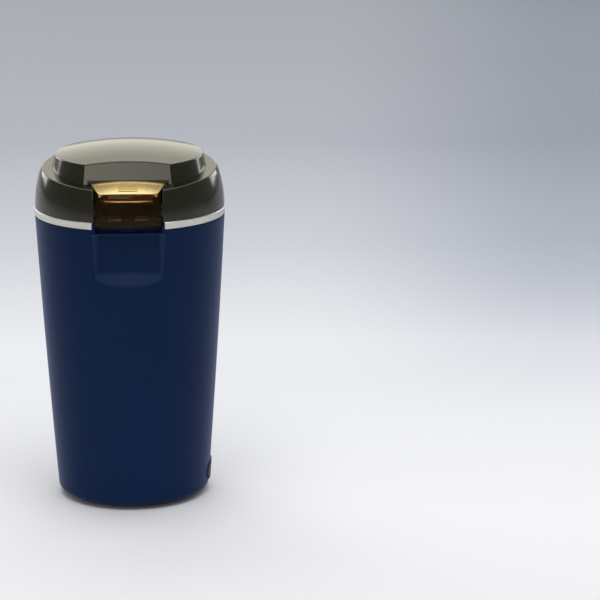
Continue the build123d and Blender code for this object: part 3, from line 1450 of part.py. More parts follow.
save(press_button.part, "press_button")

# gold plate: a tapered tray with a raised rim, its back edge crowned
with BuildPart() as plate_dish_form:
    add(plate_loft(plate_rim, plate_dish, -plate_crown - 2))
    # grip ribs stay as high as the rim
    with BuildSketch(slope_plane(plate_t)):
        with Locations((0, -(plate_front_y - button_back_y) / 2 / cos(radians(plate_slope)))):
            with GridLocations(0, grip_pitch, 1, grip_count):
                Rectangle(grip_len, grip_w)
    extrude(amount=plate_t + plate_crown + 3, mode=Mode.SUBTRACT)

with BuildPart() as thumb_plate:
    add(plate_loft(0, 0, plate_t + 3))
    split(bisect_by=slope_plane(plate_t), keep=Keep.TOP)
    with BuildSketch(Plane.XZ):
        with BuildLine():
            add(lid_side(button_inset + rest_gap))
        make_face()
    revolve(axis=Axis.Z, mode=Mode.INTERSECT)
    add(plate_dish_form.part, mode=Mode.SUBTRACT)
    with BuildSketch(Plane.XY.offset(plate_z(apron_y) - apron_drop)):
        with Locations((0, -apron_y)):
            Rectangle(2 * apron_half, apron_t)
    extrude(amount=apron_drop - plate_t + 0.4)
save(thumb_plate.part, "thumb_plate")

with BuildPart() as button_slider:
    with BuildSketch(Plane.XZ.offset(slider_back_y)):
        with Locations((0, (slider_bar_z + slider_lip_t + slider_top_z) / 2)):
            Rectangle(2 * slider_half, slider_top_z - slider_bar_z - slider_lip_t)
        with Locations((0, slider_bar_z + slider_lip_t / 2)):
            Rectangle(2 * (slider_leg_x + slider_leg_w), slider_lip_t)
        for way in (-1, 1):
            with Locations((way * (slider_leg_x + slider_leg_w / 2), (button_low_z + slider_bar_z) / 2)):
                Rectangle(slider_leg_w, slider_bar_z - button_low_z)
    extrude(amount=slider_front_y - slider_back_y)
    # prong over the plunger
    with BuildSketch(Plane.XY.offset(button_low_z)):
        with Locations((0, -(bowl_flange_r + drop_gap + slider_front_y) / 2)):
            Rectangle(2 * prong_half, slider_front_y - bowl_flange_r - drop_gap)
    extrude(amount=slider_bar_z + 1.4 - button_low_z)
    # stalks up to the button's roof
    for x in (-slider_half + 2, slider_half - 2):
        with BuildSketch(Plane.XY.offset(slider_top_z - 0.5)):
            with Locations((x, -(slider_back_y + slider_front_y) / 2)):
                Rectangle(3, slider_front_y - slider_back_y - 0.6)
        extrude(amount=plate_back_z - slider_top_z)
    split(bisect_by=slope_plane(plate_t + button_roof), keep=Keep.BOTTOM)
save(button_slider.part, "button_slider")

spring_y = -(button_back_y + tube_out_r) / 2
roof_z = plate_z(-spring_y + button_spring_r) - plate_t - button_roof
with BuildPart() as button_springs:
    for x in (-button_spring_x, button_spring_x):
        seat = Plane((x, spring_y, well_floor_z + 0.05))
        add(seat * coil_spring(button_spring_r, spring_wire_r, roof_z - well_floor_z - 0.15, button_turns))
save(button_springs.part, "button_springs")
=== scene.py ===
import json
import math

import bmesh
import bpy
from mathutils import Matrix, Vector


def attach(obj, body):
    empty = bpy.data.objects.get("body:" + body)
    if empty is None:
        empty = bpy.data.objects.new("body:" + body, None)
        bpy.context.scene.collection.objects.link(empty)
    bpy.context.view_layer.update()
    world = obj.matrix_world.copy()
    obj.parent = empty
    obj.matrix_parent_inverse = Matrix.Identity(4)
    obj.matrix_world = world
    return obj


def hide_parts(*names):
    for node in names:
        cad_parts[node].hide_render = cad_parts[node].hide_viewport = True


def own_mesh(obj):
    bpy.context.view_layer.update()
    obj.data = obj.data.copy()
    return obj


bl_info = {
    "name": "Electric spice grinder",
    "version": (1, 0, 0),
    "blender": (4, 5, 0),
    "location": "View3D > Sidebar > Grinder",
    "description": "Dresses the grinder's frame with finishes, fine pieces and a studio stage",
    "category": "Object",
}

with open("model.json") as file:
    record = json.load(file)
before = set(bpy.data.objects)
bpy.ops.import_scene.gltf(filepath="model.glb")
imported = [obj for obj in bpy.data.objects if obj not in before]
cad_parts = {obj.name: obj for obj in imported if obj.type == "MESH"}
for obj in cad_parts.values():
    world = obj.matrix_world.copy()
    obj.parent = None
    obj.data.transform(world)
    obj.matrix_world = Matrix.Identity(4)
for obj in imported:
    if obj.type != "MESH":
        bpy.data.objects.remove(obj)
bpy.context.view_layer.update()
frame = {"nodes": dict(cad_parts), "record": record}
NODES = frame["nodes"]
MM = 0.001

# the housing's front, which its finish is laid out on
HOUSING_TOP_R = 45.8 * MM
HOUSING_TOP_Z = 139.6 * MM
HOUSING_TAPER = 0.067      # radius lost per length downwards
POCKET_TOP_Z = 136.5 * MM
SILL_Z = 136.65 * MM
SILL_HALF = 0.22 * MM
SILL_FRONT_Y = -38.4 * MM

# a field coil's bundle
COIL_WIDTH = 5.4 * MM
COIL_CORNER = 5.2 * MM

# the studio floor and its wall
FLOOR_SIZE = 9.0
FLOOR_DROP = 0.0002        # keeps the floor just under the feet
WALL_HEIGHT = 3.0
WALL_BEND = 1.8

# name, place, point it faces, width, height, colour, and the stage property that holds its power
LAMPS = (
    ("overhead_lamp", (0.1, -0.4, 1.7), (0.1, -0.1, 0), 1.5, 1.5, (1, 1, 1), "overhead_power"),
    ("top_lamp", (-0.15, 0.95, 1.4), (0, 0, 0.17), 1.0, 0.8, (1, 1, 1), "top_power"),
    ("back_lamp", (-0.2, 3.2, 1.55), (0, 0, 0.17), 3.6, 2.9, (1, 0.985, 0.85), "back_power"),
    ("left_lamp", (-1.4, 1.5, 0.6), (0, 0, 0.1), 0.9, 0.9, (1, 1, 1), "left_power"),
    ("right_lamp", (1.4, 1.5, 0.6), (0, 0, 0.1), 0.9, 0.9, (1, 1, 1), "right_power"),
    ("front_lamp", (-0.36, -1.7, 0.63), (0, 0, 0.15), 0.8, 0.25, (1, 1, 1), "front_power"),
)


# ---- shader arithmetic -------------------------------------------------------------

class Value:
    """A shader socket that takes part in arithmetic; each operation adds a Math node."""

    def __init__(self, tree, socket):
        self.tree = tree
        self.socket = socket

    def combine(self, operation, first, second):
        node = self.tree.nodes.new("ShaderNodeMath")
        node.operation = operation
        for slot, term in zip(node.inputs, (first, second)):
            if isinstance(term, Value):
                self.tree.links.new(term.socket, slot)
            else:
                slot.default_value = term
        return Value(self.tree, node.outputs[0])

    def __add__(self, other):
        return self.combine("ADD", self, other)

    def __radd__(self, other):
        return self.combine("ADD", other, self)

    def __sub__(self, other):
        return self.combine("SUBTRACT", self, other)

    def __rsub__(self, other):
        return self.combine("SUBTRACT", other, self)

    def __mul__(self, other):
        return self.combine("MULTIPLY", self, other)

    def __rmul__(self, other):
        return self.combine("MULTIPLY", other, self)

    def __truediv__(self, other):
        return self.combine("DIVIDE", self, other)

    def __rtruediv__(self, other):
        return self.combine("DIVIDE", other, self)

    def __mod__(self, other):
        return self.combine("FLOORED_MODULO", self, other)

    def __gt__(self, other):
        return self.combine("GREATER_THAN", self, other)

    def __lt__(self, other):
        return self.combine("LESS_THAN", self, other)


class Finish:
    """One node material: its shader's constants, and one method that adds any other node."""

    def __init__(self, name, **constants):
        self.material = bpy.data.materials.new(name)
        self.material.use_nodes = True
        self.tree = self.material.node_tree
        self.shader = self.tree.nodes["Principled BSDF"]
        for socket, value in constants.items():
            self.shader.inputs[socket.replace("_", " ")].default_value = value
        self.place = self.add("ShaderNodeTexCoord", output="Object")

    def add(self, kind, settings=None, inputs=None, output=0):
        """Adds a node: its settings first, then the values or links of its sockets."""
        node = self.tree.nodes.new(kind)
        for name, value in (settings or {}).items():
            if name == "stops":
                ramp = node.color_ramp
                while len(ramp.elements) < len(value):
                    ramp.elements.new(1.0)
                for element, (position, colour) in zip(ramp.elements, value):
                    element.position = position
                    element.color = colour
            else:
                setattr(node, name, value)
        for socket, value in (inputs or {}).items():
            if isinstance(value, Value):
                self.tree.links.new(value.socket, node.inputs[socket])
            else:
                node.inputs[socket].default_value = value
        return Value(self.tree, node.outputs[output])

    def noise(self, size, detail=2.0, stretch=(1, 1, 1)):
        """Noise from 0 to 1 whose grains are about size metres across, longer where stretch is over 1."""
        scaled = self.add("ShaderNodeMapping", inputs={
            "Vector": self.place, "Scale": tuple(1 / (size * s) for s in stretch)})
        return self.add("ShaderNodeTexNoise", inputs={"Vector": scaled, "Scale": 1.0, "Detail": detail})

    def axis(self, name):
        """One coordinate of the surface point, in metres."""
        return self.add("ShaderNodeSeparateXYZ", inputs={"Vector": self.place}, output=name)

    def reach(self):
        """Distance of the surface point from the grinder's upright axis."""
        flat = self.add("ShaderNodeVectorMath", {"operation": "MULTIPLY"}, {0: self.place, 1: (1, 1, 0)})
        return self.add("ShaderNodeVectorMath", {"operation": "LENGTH"}, {0: flat}, output=1)

    def smooth(self, value, start, end):
        """Soft step from 0 where the value is start to 1 where it is end."""
        return self.add("ShaderNodeMapRange", {"interpolation_type": "SMOOTHSTEP"},
                        {"Value": value, "From Min": start, "From Max": end})

    def shade(self, socket, value):
        """Feeds one of the shader's varying inputs."""
        self.tree.links.new(value.socket, self.shader.inputs[socket])

    def mix(self, factor, low, high):
        """A colour between low and high."""
        return self.add("ShaderNodeMix", {"data_type": "RGBA"},
                        {0: factor, 6: low, 7: high}, output=2)

    def grade(self, value, *stops):
        """A colour read off a ramp of (position, colour) stops."""
        return self.add("ShaderNodeValToRGB", {"stops": stops}, {"Fac": value})

    def emboss(self, height, depth, below=None):
        """Bump of that depth in metres, on top of another bump where one is given."""
        inputs = {"Height": height, "Distance": depth, "Strength": 1.0}
        if below is not None:
            inputs["Normal"] = below
        return self.add("ShaderNodeBump", None, inputs)


def rgb(red, green, blue):
    """A display colour, 0 to 255, as the linear colour that a shader takes."""
    def linear(level):
        level /= 255
        return level / 12.92 if level <= 0.04045 else ((level + 0.055) / 1.055) ** 2.4
    return (linear(red), linear(green), linear(blue), 1.0)


def dress(piece, finish):
    """Gives a piece, or a CAD node by its name, one material."""
    target = NODES[piece] if isinstance(piece, str) else piece
    if not target.material_slots:
        target.data.materials.append(finish)
    for slot in target.material_slots:
        slot.material = finish


# ---- finishes ----------------------------------------------------------------------

def moulded(name, colour, lighter, roughness, grain, depth, **constants):
    """Moulded plastic or rubber: a colour with slow drift in it and a fine sparked grain."""
    finish = Finish(name, **constants)
    drift = finish.noise(18 * MM, 3.0)
    speck = finish.noise(grain, 2.0)
    finish.shade("Base Color", finish.mix(drift * 0.5 + speck * 0.25, colour, lighter))
    finish.shade("Roughness", roughness - 0.05 + drift * 0.06 + speck * 0.05)
    finish.shade("Normal", finish.emboss(speck, depth))
    return finish.material


def navy_satin(looks):
    """Satin navy of the housing: a soft orange-peel under a very fine grain, painted lighter low down as a
    reflection of the floor, with painted highlights on the thumb pocket's slopes and sill.
    """
    finish = Finish("navy_satin", Specular_IOR_Level=0.05, Sheen_Weight=0.28, Sheen_Roughness=0.35,
                    Sheen_Tint=rgb(120, 140, 196))
    drift = finish.noise(45 * MM, 3.0)
    grain = finish.noise(0.22 * MM, 2.0)
    peel = finish.noise(1.6 * MM, 1.0)
    height = finish.axis("Z") / (140 * MM)
    # painted highlight: the slopes of the thumb pocket and a thin line along its sill are painted brighter,
    # standing in for the light they catch
    sunk = HOUSING_TOP_R - (HOUSING_TOP_Z - finish.axis("Z")) * HOUSING_TAPER - finish.reach()
    slope = finish.smooth(sunk, 0.2 * MM, 1.2 * MM)
    rise = finish.smooth(finish.axis("Y"), -39.0 * MM, -40.2 * MM)
    highlighted = slope * rise * (finish.axis("Z") < POCKET_TOP_Z)
    from_sill = finish.add("ShaderNodeMath", {"operation": "ABSOLUTE"}, {0: finish.axis("Z") - SILL_Z})
    sill_highlight = (from_sill < SILL_HALF) * (finish.axis("Y") < SILL_FRONT_Y) * slope
    # painted reflection: the housing is painted lighter towards the bottom for the pale floor it mirrors, on
    # top of the random drift and grain
    plain = finish.mix(
        drift * 0.35 + grain * 0.15 + (1 - height) * 0.4, looks.housing_colour, looks.housing_drift_and_reflection)
    finish.shade("Base Color", finish.mix(
        highlighted * (0.22 + drift * 0.14) + sill_highlight, plain, looks.housing_highlight))
    finish.shade("Roughness", looks.housing_roughness + drift * 0.05 + grain * 0.05 - height * 0.03)
    soft = finish.emboss(peel, 0.004 * MM)
    finish.shade("Normal", finish.emboss(grain, 0.006 * MM, below=soft))
    return finish.material


def smoke(name, colour, lighter, roughness, **constants):
    """Polished smoked plastic: faint flow in the colour, a trace of orange-peel, dust and hairlines."""
    finish = Finish(name, IOR=1.52, **constants)
    flow = finish.noise(12 * MM, 3.0, (2.0, 2.0, 0.7))
    dust = finish.noise(0.35 * MM, 1.0)
    wipe = finish.noise(1.2 * MM, 4.0, (9.0, 0.6, 1.0))
    peel = finish.noise(3.5 * MM, 1.0)
    finish.shade("Base Color", finish.mix(flow * 0.7 + (dust > 0.72) * 0.35, colour, lighter))
    finish.shade("Roughness", roughness + (wipe > 0.62) * 0.03 + flow * 0.03 + (dust > 0.72) * 0.1)
    finish.shade("Normal", finish.emboss(peel, 0.004 * MM))
    return finish.material


def smoke_lid(looks):
    return smoke("smoke_lid", looks.lid_colour, looks.lid_light, looks.lid_roughness,
                 Specular_IOR_Level=0.4, Specular_Tint=rgb(255, 250, 226),
                 Coat_Weight=0.3, Coat_Roughness=0.06, Coat_Tint=rgb(255, 251, 228))


def smoke_button(looks):
    """The button's wall is thin and clear enough to show the plate's apron and the slider in it."""
    return smoke("smoke_button", looks.button_colour, looks.button_light, 0.03,
                 Transmission_Weight=0.97, Specular_Tint=rgb(140, 130, 102))


def brushed(name, colour, darker, roughness, lie, size):
    """Metal with fine lines: lie is ring (round the upright axis) or flat (along X)."""
    finish = Finish(name, Metallic=1.0)
    if lie == "ring":
        angle = finish.add("ShaderNodeMath", {"operation": "ARCTAN2"},
                           {0: finish.axis("Y"), 1: finish.axis("X")})
        turned = finish.add("ShaderNodeCombineXYZ", None, {
            "X": angle * 3.0, "Y": finish.reach() / size, "Z": finish.axis("Z") / size})
        lines = finish.add("ShaderNodeTexNoise", None, {"Vector": turned, "Scale": 1.0, "Detail": 3.0})
    else:
        lines = finish.noise(size, 3.0, (40, 0.6, 0.6))
    stain = finish.noise(9 * MM, 2.0)
    finish.shade("Base Color", finish.mix(lines * 0.6 + stain * 0.3, darker, colour))
    finish.shade("Roughness", roughness - 0.06 + lines * 0.12 + stain * 0.04)
    finish.shade("Normal", finish.emboss(lines, 0.003 * MM))
    return finish.material


def gold_plate(looks):
    """Satin gold plating with a very fine lengthwise brush and warmer patches in the dish."""
    finish = Finish("gold_plate", Metallic=1.0)
    lines = finish.noise(0.15 * MM, 2.0, (30.0, 1.0, 1.0))
    warm = finish.noise(4 * MM, 2.0)
    finish.shade("Base Color", finish.mix(warm * 0.6 + lines * 0.25, looks.gold_colour, looks.gold_deep))
    finish.shade("Roughness", looks.gold_roughness + lines * 0.08)
    finish.shade("Normal", finish.emboss(lines, 0.001 * MM))
    return finish.material


def laminated():
    """Stack of electrical sheets: dark gaps every half millimetre, with specks in the steel's grey."""
    finish = Finish("laminated", Metallic=0.9)
    sheet = finish.axis("Z") / (0.5 * MM) % 1.0
    gap = sheet < 0.16
    speck = finish.noise(0.8 * MM, 3.0)
    steel = finish.mix(speck, rgb(116, 117, 122), rgb(168, 168, 172))
    finish.shade("Base Color", finish.mix(gap * 0.8, steel, rgb(38, 36, 36)))
    finish.shade("Roughness", 0.38 + gap * 0.3 + speck * 0.1)
    finish.shade("Normal", finish.emboss(1 - gap, 0.06 * MM))
    return finish.material


def enamelled_wire(name, colour, darker, pitch=None):
    """Varnished copper: bare strand colour, or with a pitch the ridges of turns laid side by side."""
    finish = Finish(name, Metallic=0.85, Coat_Weight=0.5, Coat_Roughness=0.15)
    varnish = finish.noise(1.5 * MM, 3.0)
    finish.shade("Roughness", 0.28 + varnish * 0.14)
    if pitch is None:
        finish.shade("Base Color", finish.mix(varnish, darker, colour))
        finish.shade("Normal", finish.emboss(varnish, 0.01 * MM))
    else:
        turn = (finish.axis("X") + finish.axis("Y") + finish.axis("Z") * 0.6) / pitch % 1.0
        ridge = turn * (1 - turn) * 4
        # painted shade: the colour is darker in the grooves between turns
        finish.shade("Base Color", finish.mix(ridge * 0.7 + varnish * 0.3, darker, colour))
        finish.shade("Normal", finish.emboss(ridge, 0.12 * MM))
    return finish.material


def pored_bronze():
    """Sintered bronze: oil-dark pores in a warm matt metal."""
    finish = Finish("pored_bronze", Metallic=0.9)
    pore = finish.noise(0.25 * MM, 2.0) > 0.6
    tone = finish.noise(3 * MM, 2.0)
    body = finish.mix(tone, rgb(150, 112, 70), rgb(190, 150, 100))
    finish.shade("Base Color", finish.mix(pore * 0.7, body, rgb(62, 45, 30)))
    finish.shade("Roughness", 0.42 + pore * 0.25)
    finish.shade("Normal", finish.emboss(1 - pore, 0.02 * MM))
    return finish.material


# ---- sizes and colours that a user would change ------------------------------------------

def colour_of(label, red, green, blue, about):
    return bpy.props.FloatVectorProperty(
        name=label, description=about, subtype="COLOR", size=4, min=0, max=1,
        default=rgb(red, green, blue))


def share_of(label, value, about):
    return bpy.props.FloatProperty(
        name=label, description=about, subtype="FACTOR", min=0, max=1, default=value)


def length_of(label, millimetres, about):
    return bpy.props.FloatProperty(
        name=label, description=about, subtype="DISTANCE", unit="LENGTH", min=0,
        default=millimetres * MM)


class GrinderLooks(bpy.types.PropertyGroup):
    """Colours and gloss of the finishes that show most"""
    housing_colour: colour_of("Housing", 11, 31, 62, "Colour of the tapered housing")
    # lighter drift, also the painted reflection of the floor low on the housing
    housing_drift_and_reflection: colour_of("Housing, lighter", 22, 45, 84, "Lighter drift in the housing's colour")
    # painted highlight: the navy that the thumb pocket's slopes and sill are painted with
    housing_highlight: colour_of("Housing, rubbed", 54, 72, 108, "Navy of the rubbed thumb pocket")
    housing_roughness: share_of("Housing roughness", 0.36, "How matt the housing is")
    lid_colour: colour_of("Lid", 20, 20, 13, "Colour of the smoked lid")
    lid_light: colour_of("Lid, lighter", 34, 34, 24, "Lighter flow in the smoked lid")
    lid_roughness: share_of("Lid roughness", 0.16, "How matt the lid is")
    button_colour: colour_of("Button", 128, 98, 60, "Tint of the clear smoked button")
    button_light: colour_of("Button, lighter", 140, 110, 70, "Lighter flow in the button's tint")
    gold_colour: colour_of("Gold", 244, 222, 162, "Colour of the thumb plate")
    gold_deep: colour_of("Gold, deeper", 222, 186, 120, "Warmer patches of the thumb plate")
    gold_roughness: share_of("Gold roughness", 0.24, "How matt the thumb plate is")
    ring_colour: colour_of("Ring", 236, 234, 226, "Colour of the trim ring")
    ring_dark: colour_of("Ring, darker", 204, 202, 194, "Darker brush lines of the trim ring")


class GrinderSizes(bpy.types.PropertyGroup):
    """Sizes of the fine pieces that are modelled over the frame"""
    screw_head: length_of("Screw head radius", 2.9, "Radius of the pan heads")
    screw_head_rise: length_of("Screw head height", 1.04, "Height of the pan heads")
    screw_shank: length_of("Screw crest radius", 1.15, "Radius of a screw over its thread")
    screw_pitch: length_of("Screw pitch", 0.9, "Distance between two turns of a thread")
    screw_drive: length_of("Cross recess", 1.3, "Reach of one arm of the cross recess")
    foot_edge: length_of("Foot rounding", 0.4, "Rounding of a rubber foot's lower edge")
    spring_wire: length_of("Spring wire radius", 0.3, "Radius of the wire of the upright springs")
    wire: length_of("Field wire radius", 0.45, "Radius of the wire on the field coils")


def power_of(label, watts, about):
    return bpy.props.FloatProperty(
        name=label, description=about, unit="POWER", min=0, default=watts)


class GrinderStage(bpy.types.PropertyGroup):
    """Floor, lamps and camera"""
    floor_colour: colour_of("Floor", 244, 244, 247, "Colour of the floor in front of the grinder")
    near_colour: colour_of("Floor, near", 233, 234, 239, "Colour of the floor just behind the grinder")
    middle_colour: colour_of("Floor, middle", 202, 205, 213, "Colour of the floor further behind")
    far_colour: colour_of("Floor, far", 177, 180, 190, "Colour of the far floor")
    wall_colour: colour_of("Backdrop", 182, 186, 198, "Colour of the wall")
    shade_colour: colour_of("Backdrop, right", 219, 222, 229, "Tint that the back falls off to on the right")
    overhead_power: power_of("Overhead lamp", 18.5, "Large soft lamp above")
    top_power: power_of("Top lamp", 4.2, "Lamp above and behind that the thumb plate mirrors")
    back_power: power_of("Back lamp", 40.0, "Lamp that the lid's top mirrors")
    left_power: power_of("Left lamp", 8.0, "Lamp on the left")
    right_power: power_of("Right lamp", 8.0, "Lamp on the right")
    front_power: power_of("Front lamp", 2.1, "Lamp in front and above")
    sky_strength: share_of("Sky", 0.3, "Strength of the light from all around")
    lens: bpy.props.FloatProperty(name="Lens", description="Focal length on a 36 mm sensor",
                                  min=1, default=156.35)
    camera_side: length_of("Camera offset", 27.42, "Camera to the right of the grinder's axis")
    camera_back: length_of("Camera distance", 1236.8, "Camera in front of the grinder's axis")
    camera_up: length_of("Camera height", 395.26, "Camera over the floor")
    camera_pitch: bpy.props.FloatProperty(name="Camera pitch", description="Camera looks down by this",
                                          subtype="ANGLE", default=0.2382)
    camera_turn: bpy.props.FloatProperty(name="Camera turn", description="Camera is turned right by this",
                                         subtype="ANGLE", default=0.0443)


# ---- modelling helpers -------------------------------------------------------------------

def clear_selection():
    if bpy.context.object and bpy.context.object.mode != "OBJECT":
        bpy.ops.object.mode_set(mode="OBJECT")
    bpy.ops.object.select_all(action="DESELECT")


def named(name):
    """Names the object that an operator has just added, and its data."""
    piece = bpy.context.object
    piece.name = name
    piece.data.name = name
    return piece


def only(*pieces):
    """Selects these pieces and nothing else; the first one is active."""
    clear_selection()
    for piece in pieces:
        piece.select_set(True)
    bpy.context.view_layer.objects.active = pieces[0]


def pick(kind, test):
    """In edit mode, selects only the vertices, edges or faces whose middle passes the test."""
    mesh = bmesh.from_edit_mesh(bpy.context.object.data)
    bpy.ops.mesh.select_mode(type=kind)
    bpy.ops.mesh.select_all(action="DESELECT")
    for part in {"VERT": mesh.verts, "EDGE": mesh.edges, "FACE": mesh.faces}[kind]:
        corners = [part.co] if kind == "VERT" else [v.co for v in part.verts]
        part.select_set(bool(test(sum(corners, Vector()) / len(corners), part)))
    bmesh.update_edit_mesh(bpy.context.object.data)


def editing(piece):
    only(piece)
    bpy.ops.object.mode_set(mode="EDIT")


def done_editing():
    bpy.ops.object.mode_set(mode="OBJECT")


def settle(piece):
    """Moves a piece's place, turn and size into its mesh."""
    only(piece)
    bpy.ops.object.transform_apply(location=True, rotation=True, scale=True)
    return piece


def modify(piece, kind, **settings):
    """Adds a modifier and applies it."""
    only(piece)
    modifier = piece.modifiers.new(kind.lower(), kind)
    for name, value in settings.items():
        setattr(modifier, name, value)
    bpy.ops.object.modifier_apply(modifier=modifier.name)


def soften(piece, degrees=35):
    only(piece)
    bpy.ops.object.shade_smooth_by_angle(angle=math.radians(degrees))
    return piece


def mount(piece, body, slot, *nodes):
    """Hands a finished piece to the frame: puts it on its body and hides the nodes it stands for; slot is
    not used.
    """
    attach(piece, body)
    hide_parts(*nodes)


def solids_of(node):
    """Lowest and highest corner of each separate solid of a CAD node."""
    clear_selection()
    copy = bpy.data.objects.new("measured", NODES[node].data.copy())
    bpy.context.collection.objects.link(copy)
    editing(copy)
    bpy.ops.mesh.select_all(action="SELECT")
    bpy.ops.mesh.remove_doubles(threshold=1e-6)
    bpy.ops.mesh.separate(type="LOOSE")
    done_editing()
    boxes = []
    for part in list(bpy.context.selected_objects):
        corners = [v.co for v in part.data.vertices]
        boxes.append((Vector(min(c[i] for c in corners) for i in range(3)),
                      Vector(max(c[i] for c in corners) for i in range(3))))
        bpy.data.objects.remove(part)
    return boxes


# ---- pieces ------------------------------------------------------------------------------

class GRINDER_OT_housing(bpy.types.Operator):
    """Satin navy on the tapered housing"""
    bl_idname = "grinder.housing"
    bl_label = "Housing"

    def execute(self, context):
        dress("housing", navy_satin(context.scene.grinder_looks))
        return {"FINISHED"}


class GRINDER_OT_ring(bpy.types.Operator):
    """Brushed trim ring between the housing and the lid"""
    bl_idname = "grinder.ring"
    bl_label = "Trim ring"

    def execute(self, context):
        looks = context.scene.grinder_looks
        dress("trim_ring", brushed("brushed_ring", looks.ring_colour, looks.ring_dark,
                                   0.34, "ring", 0.12 * MM))
        return {"FINISHED"}


class GRINDER_OT_lid(bpy.types.Operator):
    """Polished smoked lid and the seal under its chamber"""
    bl_idname = "grinder.lid"
    bl_label = "Lid"

    def execute(self, context):
        looks = context.scene.grinder_looks
        dress("lid_cover", smoke_lid(looks))
        dress("lid_seal", moulded("clear_seal", rgb(176, 176, 170), rgb(204, 204, 198), 0.45,
                                  0.3 * MM, 0.01 * MM))
        return {"FINISHED"}


class GRINDER_OT_button(bpy.types.Operator):
    """Press button with its gold thumb plate and slider"""
    bl_idname = "grinder.button"
    bl_label = "Press button"

    def execute(self, context):
        looks = context.scene.grinder_looks
        dress("press_button", smoke_button(looks))
        dress("thumb_plate", gold_plate(looks))
        dress("button_slider", moulded("slider_black", rgb(18, 18, 12), rgb(30, 29, 20), 0.5,
                                       0.2 * MM, 0.01 * MM))
        return {"FINISHED"}


class GRINDER_OT_bowl(bpy.types.Operator):
    """Brushed grinding bowl with its nut, bush, gasket and shaft seal"""
    bl_idname = "grinder.bowl"
    bl_label = "Grinding bowl"

    def execute(self, context):
        dress("grinding_bowl", brushed("spun_bowl", rgb(216, 217, 218), rgb(178, 179, 182),
                                       0.24, "ring", 0.2 * MM))
        dress("bowl_nut", brushed("nickel_nut", rgb(206, 204, 196), rgb(176, 174, 168),
                                  0.2, "flat", 0.3 * MM))
        dress("bowl_bush", pored_bronze())
        rubber = moulded("black_rubber", rgb(24, 24, 25), rgb(40, 40, 41), 0.75, 0.25 * MM, 0.03 * MM)
        for node in ("bowl_gasket", "shaft_seal", "motor_mounts"):
            dress(node, rubber)
        return {"FINISHED"}


class GRINDER_OT_feet(bpy.types.Operator):
    """Rubber feet with a rounded edge and grip rings, in place of the frame's plain ones"""
    bl_idname = "grinder.feet"
    bl_label = "Feet"

    def execute(self, context):
        sizes = context.scene.grinder_sizes
        rubber = moulded("foot_rubber", rgb(30, 30, 31), rgb(52, 52, 53), 0.8, 0.3 * MM, 0.04 * MM)
        for number, (low, high) in enumerate(solids_of("rubber_feet")):
            foot = ringed_foot(f"rubber_foot_{number + 1}", low, high, sizes)
            dress(foot, rubber)
            mount(foot, "housing", "rubber", "rubber_feet")
        return {"FINISHED"}


def ringed_foot(name, low, high, sizes):
    """A disc in the box of a plain foot; its underside has a rounded edge and two sunk rings."""
    clear_selection()
    bpy.ops.mesh.primitive_cylinder_add(vertices=64, radius=(high.x - low.x) / 2,
                                        depth=high.z - low.z, location=(low + high) / 2)
    foot = settle(named(name))
    editing(foot)
    pick("FACE", lambda middle, face: middle.z < low.z + 0.01 * MM)
    bpy.ops.mesh.bevel(offset=sizes.foot_edge, segments=4, affect="EDGES")
    pick("FACE", lambda middle, face: middle.z < low.z + 0.01 * MM and len(face.verts) > 20)
    # flat, down into a groove, its floor, and up again
    for step, depth in ((0.9, 0), (0.2, -0.25), (0.5, 0), (0.2, 0.25)) * 2:
        bpy.ops.mesh.inset(thickness=step * MM, depth=depth * MM)
    done_editing()
    return soften(foot, 40)


class GRINDER_OT_blade(bpy.types.Operator):
    """Ground blade with its hub, cap nut and shaft"""
    bl_idname = "grinder.blade"
    bl_label = "Blade and shaft"

    def execute(self, context):
        dress("grinding_blade", brushed("ground_blade", rgb(212, 213, 214), rgb(164, 165, 168),
                                        0.24, "flat", 0.12 * MM))
        bright = brushed("turned_steel", rgb(204, 204, 206), rgb(162, 162, 166), 0.22, "ring", 0.1 * MM)
        for node in ("motor_shaft", "blade_hub", "blade_nut", "lever_pin"):
            dress(node, bright)
        return {"FINISHED"}


class GRINDER_OT_motor(bpy.types.Operator):
    """Motor: laminated cores, commutator, fan, brackets, bearings and brush gear"""
    bl_idname = "grinder.motor"
    bl_label = "Motor"

    def execute(self, context):
        sheets = laminated()
        dress("stator_core", sheets)
        dress("armature_core", sheets)
        dress("armature_windings", enamelled_wire("wound_copper", rgb(190, 104, 58),
                                                  rgb(96, 42, 22), 0.9 * MM))
        dress("commutator", brushed("commutator_copper", rgb(206, 130, 88), rgb(150, 86, 54),
                                    0.3, "ring", 0.15 * MM))
        filled = moulded("glass_filled", rgb(108, 110, 112), rgb(140, 142, 144), 0.5,
                         0.4 * MM, 0.02 * MM)
        for node in ("upper_bracket", "lower_bracket"):
            dress(node, filled)
        dress("cooling_fan", moulded("fan_grey", rgb(52, 54, 58), rgb(72, 74, 78), 0.45,
                                     0.3 * MM, 0.015 * MM))
        dress("thrust_washers", moulded("fibre_washer", rgb(150, 96, 50), rgb(184, 126, 74), 0.7,
                                        0.3 * MM, 0.03 * MM))
        bronze = pored_bronze()
        for node in ("upper_bearing", "lower_bearing"):
            dress(node, bronze)
        dress("brush_holders", brushed("pressed_brass", rgb(214, 180, 106), rgb(168, 132, 70),
                                       0.3, "flat", 0.2 * MM))
        dress("carbon_brushes", moulded("carbon_block", rgb(30, 30, 31), rgb(52, 52, 54), 0.55,
                                        0.35 * MM, 0.03 * MM))
        dress("brush_springs", brushed("brush_spring_wire", rgb(200, 200, 202), rgb(150, 150, 154),
                                       0.25, "flat", 0.1 * MM))
        return {"FINISHED"}


